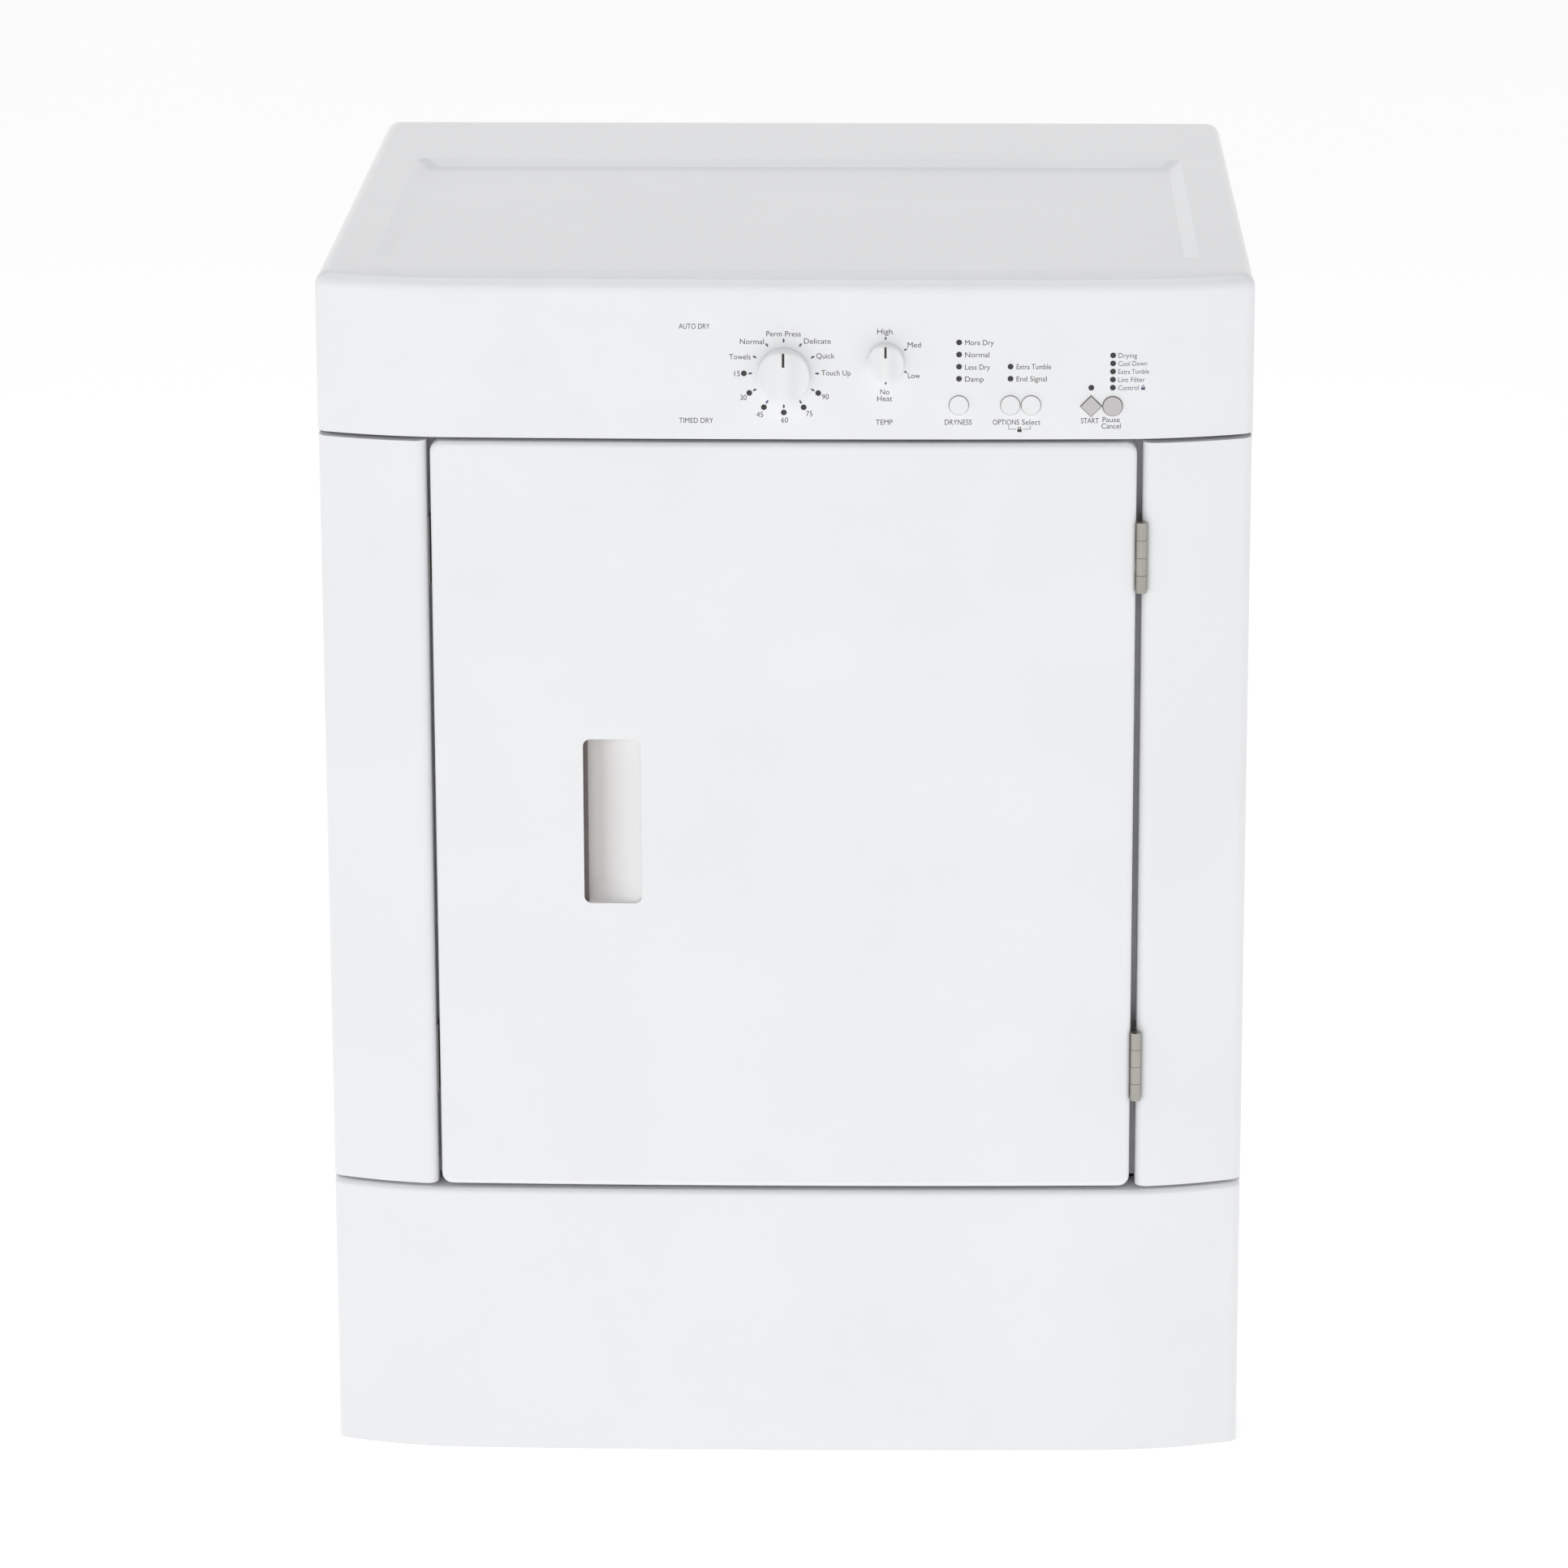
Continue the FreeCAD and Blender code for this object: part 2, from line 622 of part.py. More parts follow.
def front_panel():
    name = "front_panel_skin"
    low, top = "column_bottom", "column_top"
    body, base = bowed_block(name, ("-half_width", "half_width"), (low, top), "return_y")
    recess = new_sketch(body, name + "_recess", "XZ_Plane", "-(plate_y)")
    polygon(recess, [("-column_edge", f"{low} - 1"), ("column_edge", f"{low} - 1"),
                     ("column_edge", f"{top} + 1"), ("-column_edge", f"{top} + 1")])
    pocket = body.newObject("PartDesign::Pocket", name + "_pocket")
    pocket.Profile = recess
    pocket.Type = 1
    pocket.Reversed = True
    sides = roll_vertical(body, name + "_sides", pocket, "corner_round", ("-half_width", "half_width"))
    roll_vertical(body, name + "_columns", sides, "column_roll", ("-column_edge", "column_edge"))
    hollows = []
    edge = "column_edge + sheet_wall"
    for side, x_range in (("left", ("-inner_half", f"-({edge})")), ("right", (edge, "inner_half"))):
        column = f"front_panel_hollow_{side}"
        made, front = bowed_block(column, x_range, (f"{low} + sheet_wall", f"{top} - sheet_wall"),
                                  "plate_y + sheet_wall + 0.5", "inner_half", "sheet_wall")
        outer_x = x_range[0] if side == "left" else x_range[1]
        inner_x = x_range[1] if side == "left" else x_range[0]
        done = roll_vertical(made, column + "_side", front, "(corner_round - sheet_wall)", (outer_x,))
        roll_vertical(made, column + "_roll", done, "(column_roll - sheet_wall)", (inner_x,))
        hollows.append(made)
    middle = block("front_panel_middle", ("-inner_half", "inner_half"),
                   ("plate_y + sheet_wall", "return_y + 1"),
                   (f"{low} + sheet_wall", f"{top} - sheet_wall"))
    opening = rod("front_panel_opening", "throat_radius", "Y", ("0", "plate_y - 1", "throat_level"),
                  "sheet_wall + 4")
    slot = block("front_panel_slot", ("catch_x - 7", "catch_x + 7"),
                 ("plate_y - 1", "plate_y + sheet_wall + 1"), ("throat_level - 9", "throat_level + 9"))
    subpart(cut("front_panel", body, *hollows, middle, opening, slot))


# ---------------------------------------------------------------- console

KNOBS = {"cycle": ("0", "cycle_level"), "temperature": ("temp_right", "temp_level")}

ROUND_BUTTONS = {
    "dryness_button": ("dryness_right", "button_level"),
    "options_button": ("options_right", "button_level"),
    "select_button": ("select_right", "button_level"),
    "pause_button": ("pause_right", "start_level"),
}


def lens_places():
    """Where the light dots stand: two option columns, the start dot and the status column."""
    places = [("dryness_right", f"lens_level + {row} * lens_step") for row in range(4)]
    places += [("options_right", f"lens_level + {row} * lens_step") for row in range(2)]
    places.append(("start_right", "status_level"))
    places += [("pause_right", f"status_level + {row} * status_step") for row in range(5)]
    return places


def dial_lens_places():
    """Light dots round the lower half of the cycle dial, one for each timed setting."""
    places = []
    for index in range(SIZES["dial_lens_count"]):
        turn = math.radians(180 + 30 * index)
        across = f"dial_lens_reach * {math.cos(turn):.6f}"
        level = f"cycle_level + dial_lens_reach * {math.sin(turn):.6f}"
        places.append((across, level))
    return places


def diamond(name, half, at, length):
    """A square bar along Y standing on one corner."""
    bar = doc.addObject("Part::Prism", name)
    bar.Polygon = 4
    bar.setExpression("Circumradius", formula(half))
    bar.setExpression("Height", formula(length))
    return place(bar, at, "Y")


def console_fascia():
    half = "(half_width + console_overhang)"
    outer = kick_shape("fascia_outer", half, "console_bottom", "cabinet_height", "return_y", "0",
                       "corner_round", "console_roll")
    inner = kick_shape("fascia_inner", f"({half} - console_wall)", "console_bottom + console_wall",
                       "cabinet_height - console_wall", "return_y + 1", "console_wall",
                       "(corner_round - console_wall)", "(console_roll - console_wall)")
    shell = cut("fascia_shell", outer, inner)
    start = "front_y - front_bulge - 2"
    bosses = [rod(f"fascia_boss_{name}", "bushing_radius + 4", "Y", (across, start, level),
                  f"boss_y - ({start})") for name, (across, level) in KNOBS.items()]
    for across in ("board_left + 4", "board_right - 4"):
        for level in ("board_low + 4", "board_top - 4"):
            bosses.append(rod(f"fascia_post_{len(bosses)}", "3", "Y", (across, start, level),
                              f"board_y - ({start})"))
    inside = common("fascia_bosses", group("fascia_boss_group", *bosses), outer)
    solid = fuse("fascia_solid", shell, inside)
    holes = []
    through = "boss_front"
    for name, (across, level) in KNOBS.items():
        holes.append(rod(f"fascia_hole_{name}", "knob_shaft + 1", "Y", (across, start, level), through))
    for name, (across, level) in ROUND_BUTTONS.items():
        holes.append(rod(f"fascia_hole_{name}", "button_radius + button_clearance", "Y",
                         (across, start, level), "12"))
    holes.append(diamond("fascia_hole_start", "start_half + 1.5 * button_clearance",
                         ("start_right", start, "start_level"), "14"))
    for index, (across, level) in enumerate(lens_places() + dial_lens_places()):
        holes.append(rod(f"fascia_lens_hole_{index}", "lens_radius + lens_clearance", "Y",
                         (across, start, level), "12"))
    subpart(cut("console_fascia", solid, group("fascia_holes", *holes)))


def control_board():
    board = block("board_plate", ("board_left", "board_right"), ("board_y", "board_y + board_thick"),
                  ("board_low", "board_top"))
    parts = [board]
    for name, (across, level) in {**ROUND_BUTTONS, "start_button": ("start_right", "start_level")}.items():
        parts.append(block(f"board_switch_{name}", (f"{across} - 3", f"{across} + 3"),
                           ("board_y - 3", "board_y"), (f"{level} - 3", f"{level} + 3")))
    parts.append(block("board_relay", ("board_left + 20", "board_right - 50"),
                       ("board_y + board_thick", "board_y + board_thick + 14"),
                       ("board_low + 14", "board_top - 14")))
    subpart(fuse("control_board", *parts))


def indicator_lenses():
    lenses = []
    long_pipes = [(place_of, "board_y") for place_of in lens_places()]
    short_pipes = [(place_of, "boss_y + 4") for place_of in dial_lens_places()]
    for (across, level), end in long_pipes + short_pipes:
        start = f"{face_y(across)} - 0.2"
        lenses.append(rod(f"lens_{len(lenses)}", "lens_radius", "Y", (across, start, level),
                          f"{end} - ({start})"))
    subpart(group("indicator_lenses", *lenses))


def rotary_switches():
    """Each switch has a threaded bushing seated on the fascia's boss and a bored shaft seat."""
    switches = []
    for name, half in (("cycle", 24), ("temperature", 15)):
        across, level = KNOBS[name]
        case = block(f"switch_{name}_case", (f"{across} - {half}", f"{across} + {half}"),
                     ("boss_y + 8", "boss_y + 34"), (f"{level} - {half}", f"{level} + {half}"))
        sleeve = rod(f"switch_{name}_bushing", "bushing_radius", "Y", (across, "boss_y", level), "9")
        seat = rod(f"switch_{name}_seat", "knob_shaft + running_clearance", "Y",
                   (across, "boss_y - 1", level), "26")
        switches.append(cut(f"switch_{name}", fuse(f"switch_{name}_solid", case, sleeve), seat))
    subpart(group("rotary_switches", *switches))


def knob(name, centre, radius, reach, skirt, face):
    """A skirted knob: local Z points out of the console, the grip bar stands across it."""
    across, level = centre
    body = doc.addObject("PartDesign::Body", name)
    rim = circle_sketch(body, name + "_rim", radius)
    disc = pad_of(body, name + "_disc", rim, skirt)

    def front_edge(edge):
        return near(edge.BoundBox.ZMin, number(skirt))
    round_edges(body, name + "_rim_roll", disc, "1.2", front_edge)
    bar = new_sketch(body, name + "_bar", "XY_Plane", f"{skirt} - 1.5")
    long_half = f"({radius} - 2.4)"
    polygon(bar, [("-grip_half", f"-{long_half}"), ("grip_half", f"-{long_half}"),
                  ("grip_half", long_half), ("-grip_half", long_half)])
    grip = pad_of(body, name + "_grip", bar, f"{reach} - ({skirt} - 1.5)")
    doc.recompute()
    top = number(reach)

    def upright(edge):
        return is_along(edge, 2) and edge.BoundBox.ZMax > top - 0.1
    ends = round_edges(body, name + "_grip_ends", grip, "(grip_half - 0.6)", upright)

    def crest(edge):
        return near(edge.BoundBox.ZMin, top)
    round_edges(body, name + "_grip_crest", ends, "grip_taper", crest)
    shaft = circle_sketch(body, name + "_shaft", "knob_shaft")
    pad_of(body, name + "_stem", shaft, f"boss_y + 22 - ({face})", reverse=True)
    body.Placement = FreeCAD.Placement(V(), FreeCAD.Rotation(V(1, 0, 0), 90))
    for letter, text in zip("xyz", (across, face, level)):
        body.setExpression("Placement.Base." + letter, formula(text))
    return subpart(body)


def knobs():
    cycle_face = f"({face_y('0')} - 0.5)"
    knob("cycle_knob", KNOBS["cycle"], "cycle_radius", f"({cycle_face} - (front_y - knob_reach))",
         "cycle_skirt", cycle_face)
    temp_face = f"({face_y('temp_right + temp_radius')} - 1.2)"
    knob("temperature_knob", KNOBS["temperature"], "temp_radius", "temp_reach", "cycle_skirt - 1",
         temp_face)


def buttons():
    for name, (across, level) in ROUND_BUTTONS.items():
        front = f"({face_y(across)} - button_proud)"
        cap = rod(f"{name}_cap", "button_radius", "Y", (across, front, level),
                  "button_proud + console_wall + 1")
        flange = rod(f"{name}_flange", "button_radius + button_flange", "Y",
                     (across, f"{front} + button_proud + console_wall + 0.6", level), "1.4")
        subpart(fuse(name, cap, flange))
    front = f"({face_y('start_right')} - button_proud)"
    cap = diamond("start_button_cap", "start_half", ("start_right", front, "start_level"),
                  "button_proud + console_wall + 1")
    flange = diamond("start_button_flange", "start_half + 1.5 * button_flange",
                     ("start_right", f"{front} + button_proud + console_wall + 0.7", "start_level"), "1.4")
    subpart(fuse("start_button", cap, flange))


# ---------------------------------------------------------------- front bulkhead and air path


def front_bulkhead():
    level = "throat_level"
    plate = block("bulkhead_plate", ("-inner_half", "inner_half"),
                  ("bulkhead_y", "bulkhead_y + sheet_wall"), ("kick_top", "drum_level + drum_radius - 3"))
    throat_start = "plate_y + sheet_wall"
    sleeve = rod("bulkhead_sleeve", "throat_radius + throat_wall", "Y", ("0", throat_start, level),
                 f"bulkhead_y + sheet_wall - ({throat_start})")
    rib = tube("bulkhead_rib", "ring_radius", "ring_radius - 3", "Y",
               ("0", "bulkhead_y + sheet_wall", "drum_level"), "24")
    bore = rod("bulkhead_bore", "throat_radius", "Y", ("0", f"{throat_start} - 1", level), "bulkhead_front")
    slot = block("bulkhead_slot", ("-filter_half - 2", "filter_half + 2"),
                 ("filter_y - 1", "filter_y + filter_thick + 1"), ("filter_bottom", "filter_top + 6"))
    subpart(cut("front_bulkhead", fuse("bulkhead_solid", plate, sleeve, rib), bore, slot))


def drum_seals():
    front = tube("drum_seal_front", "neck_radius - seal_gap", "ring_radius + 0.3", "Y",
                 ("0", "bulkhead_y + sheet_wall", "drum_level"), "20")
    rear = tube("drum_seal_rear", "heater_radius", "heater_radius - 8", "Y",
                ("0", "drum_end + seal_gap", "drum_level"), "heater_y - drum_end - seal_gap")
    subpart(group("drum_seals", front, rear))


def heater():
    centre = ("0", "heater_y", "drum_level")
    outer = rod("heater_pan", "heater_radius", "Y", centre, "heater_deep")
    inner = rod("heater_hollow", "heater_radius - sheet_wall", "Y",
                ("0", "heater_y + sheet_wall", "drum_level"), "heater_deep - 2 * sheet_wall")
    mouth = rod("heater_mouth", "heater_radius - 10", "Y", ("0", "heater_y - 1", "drum_level"), "4")
    inlet = block("heater_inlet", ("-60", "60"), ("heater_y + 8", "back_y - 12"),
                  ("drum_level + heater_radius - 30", "drum_level + heater_radius + 1"))
    subpart(cut("heater_housing", outer, inner, mouth, inlet))
    wires = []
    for index, step in enumerate((0, 18)):
        wires.append(ring(f"element_ring_{index}", ("0", "heater_y + 20", "drum_level"),
                          f"element_radius - {step}", "element_wire"))
    for index in range(4):
        turn = math.radians(45 + 90 * index)
        across = f"(element_radius - 9) * {math.cos(turn):.6f}"
        level = f"drum_level + (element_radius - 9) * {math.sin(turn):.6f}"
        start = "heater_y + 20 + element_wire"
        wires.append(rod(f"element_post_{index}", "10", "Y", (across, start, level),
                         f"back_y - sheet_wall - sheet_wall - ({start})"))
    subpart(group("heating_element", *wires))


def lint_duct():
    outer = block("duct_outer", ("-duct_left", "duct_right"), ("return_y", "bulkhead_y"),
                  ("duct_bottom", "filter_top + 4"))
    hollow = block("duct_hollow", ("-duct_left + duct_wall", "duct_right - duct_wall"),
                   ("return_y + duct_wall", "bulkhead_y - duct_wall"),
                   ("duct_bottom + duct_wall", "filter_top + 4 - duct_wall"))
    shell = cut("duct_shell", outer, hollow)
    rails = []
    behind = ("filter_y - 1", "bulkhead_y")
    ahead = ("filter_y - 4", "filter_y - 1")
    for side, sign in (("left", "-"), ("right", "")):
        edges = [f"{sign}(filter_half + {step})" for step in (-6, 1.5, 4.5)]
        levels = ("filter_bottom - 2", "filter_top - 40")
        web = sorted(edges[1:], key=number)
        lip = sorted((edges[0], edges[2]), key=number)
        rails.append(block(f"duct_rail_{side}", web, behind, levels))
        rails.append(block(f"duct_lip_{side}", lip, ahead, levels))
    ledge = block("duct_ledge", ("-filter_half - 4.5", "filter_half + 4.5"), ("filter_y - 4", "bulkhead_y"),
                  ("filter_bottom - 2.3", "filter_bottom - 0.3"))
    solid = fuse("duct_solid", shell, *rails, ledge)
    throat = rod("duct_throat", "throat_radius + throat_wall + 0.3", "Y",
                 ("0", "return_y - 1", "throat_level"), "bulkhead_front")
    inlet = rod("duct_outlet", "inlet_radius", "Y", ("-motor_left", "bulkhead_y - 6", "motor_level"), "12")
    subpart(cut("lint_duct", solid, throat, inlet))


def lint_filter():
    outer = block("filter_outer", ("-filter_half", "filter_half"), ("filter_y", "filter_y + filter_thick"),
                  ("filter_bottom", "filter_top"))
    window = block("filter_window", ("-filter_half + filter_bar", "filter_half - filter_bar"),
                   ("filter_y - 1", "filter_y + filter_thick + 1"),
                   ("filter_bottom + filter_bar", "filter_top - filter_bar"))
    rim = cut("filter_rim", outer, window)
    handle = block("filter_handle", ("-filter_half / 2", "filter_half / 2"),
                   ("filter_y + 3", "filter_y + filter_thick - 3"), ("filter_top - 1", "filter_top + 14"))
    bars = [block(f"filter_bar_{index}", (f"filter_half * {share} - 1.5", f"filter_half * {share} + 1.5"),
                  ("filter_y", "filter_y + 4"), ("filter_bottom + 2", "filter_top - 2"))
            for index, share in enumerate((-0.35, 0.35))]
    subpart(fuse("lint_filter_frame", rim, handle, *bars))
    middle = "filter_y + filter_thick / 2"
    subpart(block("lint_filter_screen", ("-filter_half + filter_bar", "filter_half - filter_bar"),
                  (middle, f"{middle} + 1"), ("filter_bottom + filter_bar", "filter_top - filter_bar")))


def blower():
    centre = ("-motor_left", "blower_y", "motor_level")
    low = "motor_level - blower_radius"
    high = "pipe_level + pipe_radius"
    volute = rod("blower_volute", "blower_radius", "Y", centre, "blower_deep")
    outlet = block("blower_outlet", ("-motor_left", "pipe_radius + 1"), ("blower_y", "blower_end"),
                   (low, high))
    wall = "duct_wall"
    inside = rod("blower_inside", f"blower_radius - {wall}", "Y",
                 ("-motor_left", f"blower_y + {wall}", "motor_level"), f"blower_deep - 2 * {wall}")
    passage = block("blower_passage", ("-motor_left", f"pipe_radius + 1 - {wall}"),
                    (f"blower_y + {wall}", f"blower_end - {wall}"), (f"{low} + {wall}", f"{high} - {wall}"))
    inlet = rod("blower_inlet", "inlet_radius", "Y", ("-motor_left", "blower_y - 1", "motor_level"), "5")
    shaft = rod("blower_shaft_hole", "rotor_shaft + 4", "Y",
                ("-motor_left", "blower_end - 4", "motor_level"), "8")
    exit_hole = rod("blower_exit", "pipe_radius - pipe_wall", "Y",
                    ("0", "blower_end - 4", "pipe_level"), "8")
    solid = fuse("blower_solid", volute, outlet)
    space = fuse("blower_space", inside, passage)
    subpart(cut("blower_housing", solid, space, inlet, shaft, exit_hole))
    run = tube("exhaust_run", "pipe_radius", "pipe_radius - pipe_wall", "Y",
               ("0", "blower_end", "pipe_level"), "back_y + spigot_gap - blower_end")
    spigot = tube("exhaust_spigot", "pipe_radius - pipe_wall", "pipe_radius - 2 * pipe_wall", "Y",
                  ("0", "back_y - 2", "pipe_level"), "pipe_reach + 2")
    subpart(fuse("exhaust_pipe", run, spigot))


def blower_wheel():
    body = doc.addObject("PartDesign::Body", "blower_wheel")
    rim = circle_sketch(body, "wheel_disc", "wheel_radius")
    pad_of(body, "wheel_back", rim, "wheel_back")
    blade = new_sketch(body, "wheel_blade", "XY_Plane", "1")
    polygon(blade, [("wheel_radius - blade_deep", "-blade_half"), ("wheel_radius - 1", "-blade_half"),
                    ("wheel_radius - 1", "blade_half"), ("wheel_radius - blade_deep", "blade_half")])
    fin = pad_of(body, "wheel_fin", blade, "blower_deep - 2 * wheel_gap - 1")
    polar(body, "wheel_fins", fin, rim, "blade_count")
    hub = circle_sketch(body, "wheel_hub", "rotor_shaft + 5")
    pad_of(body, "wheel_hub_pad", hub, "hub_length")
    bore = circle_sketch(body, "wheel_bore", "rotor_shaft + 0.05")
    hole = body.newObject("PartDesign::Pocket", "wheel_bore_cut")
    hole.Profile = bore
    hole.Type = 1
    hole.Midplane = True
    doc.recompute()
    body.Placement = FreeCAD.Placement(V(), FreeCAD.Rotation(V(1, 0, 0), 90))
    for letter, text in zip("xyz", ("-motor_left", "blower_end - wheel_gap", "motor_level")):
        body.setExpression("Placement.Base." + letter, formula(text))
    subpart(body)


def motor():
    centre = ("-motor_left", "motor_y", "motor_level")
    case = rod("motor_case", "motor_radius", "Y", centre, "motor_length")
    hollow = rod("motor_hollow", "motor_radius - 10", "Y",
                 ("-motor_left", "motor_y + 8", "motor_level"), "motor_length - 16")
    bore = rod("motor_bore", "rotor_shaft + running_clearance", "Y",
               ("-motor_left", "motor_y - 1", "motor_level"), "motor_length + 2")
    subpart(cut("motor_housing", case, hollow, bore))
    shaft_start = "blower_end - wheel_gap - 30"
    shaft = rod("rotor_bar", "rotor_shaft", "Y", ("-motor_left", shaft_start, "motor_level"),
                f"pulley_y + pulley_wide + 4 - ({shaft_start})")
    core = rod("rotor_core", "motor_radius - 26", "Y",
               ("-motor_left", "motor_y + 30", "motor_level"), "motor_length - 60")
    subpart(fuse("motor_shaft", shaft, core))
    subpart(tube("motor_pulley", "pulley_radius", "rotor_shaft + 0.05", "Y",
                 ("-motor_left", "pulley_y", "motor_level"), "pulley_wide"))


def motor_cradle():
    """Two uprights that grip the motor's ends, and the idler arm's pivot post."""
    floor = "foot_gap + sheet_wall"
    uprights = []
    for index, start in enumerate(("motor_y - 3", "motor_y + motor_length")):
        plate = block(f"cradle_plate_{index}", ("-motor_left - 48", "-motor_left + 48"),
                      (start, f"{start} + 3"), (floor, "motor_level + 30"))
        hole = rod(f"cradle_hole_{index}", "rotor_shaft + 8", "Y",
                   ("-motor_left", f"{start} - 1", "motor_level"), "5")
        uprights.append(cut(f"cradle_upright_{index}", plate, hole))
    post = block("cradle_post", ("-arm_left - 14", "-arm_left + 14"), ("arm_y + 3.5", "arm_y + 6.5"),
                 (floor, "arm_level + 12"))
    pin = rod("cradle_pin", "arm_pin", "Y", ("-arm_left", "arm_y - 9", "arm_level"), "13")
    subpart(group("motor_cradle", *uprights, fuse("cradle_pivot", post, pin)))


# ---------------------------------------------------------------- belt drive


def idler():
    arm_start = ("-arm_left", "arm_y", "arm_level")
    boss = rod("arm_boss_solid", "arm_boss", "Y", arm_start, "3.2")
    head = rod("arm_head", "arm_boss - 2", "Y", ("-idler_left", "arm_y", "idler_level"), "3.2")
    span = "sqrt((arm_left - idler_left) ^ 2 + (idler_level - arm_level) ^ 2)"
    link = doc.addObject("Part::Box", "arm_link")
    for side, text in (("Length", "12"), ("Width", "3.2"), ("Height", span)):
        link.setExpression(side, formula(text))
    lean = "atan((arm_left - idler_left) / (idler_level - arm_level))"
    link.Placement = FreeCAD.Placement(V(), FreeCAD.Rotation(V(0, 1, 0), 10))
    link.setExpression("Placement.Rotation.Angle", formula(lean))
    shifted = (f"-arm_left - 6 * cos({lean})", "arm_y", f"arm_level + 6 * sin({lean})")
    for letter, text in zip("xyz", shifted):
        link.setExpression("Placement.Base." + letter, formula(text))
    axle = rod("arm_axle", "arm_pin", "Y", ("-idler_left", "pulley_y - 2", "idler_level"),
               "arm_y + 1 - (pulley_y - 2)")
    solid = fuse("arm_solid", boss, head, link, axle)
    bore = rod("arm_bore", "arm_pin + running_clearance", "Y", ("-arm_left", "arm_y - 1", "arm_level"), "6")
    subpart(cut("idler_arm", solid, bore))
    subpart(tube("idler_pulley", "idler_radius", "arm_pin + running_clearance", "Y",
                 ("-idler_left", "pulley_y", "idler_level"), "pulley_wide"))
    coils = [ring(f"spring_coil_{index}", ("-arm_left", f"arm_y - 2 - {index} * 2.2", "arm_level"),
                  "arm_pin + 3", "1.2") for index in range(3)]
    leg = rod("spring_leg", "1.2", "Z", ("-arm_left - arm_pin - 3", "arm_y - 2", "foot_gap + sheet_wall"),
              "arm_level - foot_gap - sheet_wall")
    subpart(fuse("idler_spring", *coils, leg))


def tangent_ends(first, second):
    """Ends of the belt's straight run between two wheels.

    A wheel is (x, z, radius), with a negative radius where the belt turns the other way.
    """
    across = second[0] - first[0]
    along = second[1] - first[1]
    reach = math.hypot(across, along)
    heading = math.atan2(along, across)
    offset = math.asin((first[2] - second[2]) / reach)
    aim = heading + math.pi / 2 + offset - math.pi / 2
    normal = (math.cos(aim - math.pi / 2), math.sin(aim - math.pi / 2))
    return [(wheel[0] + normal[0] * wheel[2], wheel[1] + normal[1] * wheel[2])
            for wheel in (first, second)]


def belt_loop(wheels):
    """A closed wire of straight runs and arcs round wheels, anticlockwise seen along -Y."""
    count = len(wheels)
    runs = [tangent_ends(wheels[index], wheels[(index + 1) % count]) for index in range(count)]
    edges = []
    for index, wheel in enumerate(wheels):
        leave = runs[index][0]
        arrive = runs[index - 1][1]
        start = math.atan2(arrive[1] - wheel[1], arrive[0] - wheel[0])
        stop = math.atan2(leave[1] - wheel[1], leave[0] - wheel[0])
        turn = (stop - start) % (2 * math.pi)
        if wheel[2] < 0:
            turn -= 2 * math.pi
        middle = start + turn / 2
        radius = abs(wheel[2])
        half_way = (wheel[0] + radius * math.cos(middle), wheel[1] + radius * math.sin(middle))
        points = [V(across, 0, along) for across, along in (arrive, half_way, leave)]
        edges.append(Part.Arc(*points).toShape())
        run = [V(across, 0, along) for across, along in runs[index]]
        edges.append(Part.LineSegment(*run).toShape())
    return Part.Wire(edges)


def drive_belt():
    gap = number("seal_gap")
    thick = number("belt_thick")
    drum = (0, number("drum_level"), number("drum_radius"))
    pulley = (-number("motor_left"), number("motor_level"), number("pulley_radius"))
    roller = (-number("idler_left"), number("idler_level"), number("idler_radius"))
    faces = []
    for grow, press in ((gap + thick, gap), (gap, gap + thick)):
        wheels = [(drum[0], drum[1], drum[2] + grow), (roller[0], roller[1], -(roller[2] + press)),
                  (pulley[0], pulley[1], pulley[2] + grow)]
        faces.append(Part.Face(belt_loop(wheels)))
    outer, inner = sorted(faces, key=lambda face: -face.Area)
    band = outer.cut(inner).extrude(V(0, number("belt_wide"), 0))
    made = doc.addObject("Part::Feature", "drive_belt")
    made.Shape = band
    made.Placement = FreeCAD.Placement(V(0, number("belt_y"), 0), FreeCAD.Rotation())
    subpart(made)


# ---------------------------------------------------------------- drum


def turned(body, angle=0):
    """Stand a body's own Z axis along +Y on the drum's axis, turned about it."""
    spin = FreeCAD.Rotation(V(0, 0, 1), angle)
    body.Placement = FreeCAD.Placement(V(), TURN["Y"].multiply(spin))
    for letter, text in zip("xyz", ("0", "drum_start", "drum_level")):
        body.setExpression("Placement.Base." + letter, formula(text))


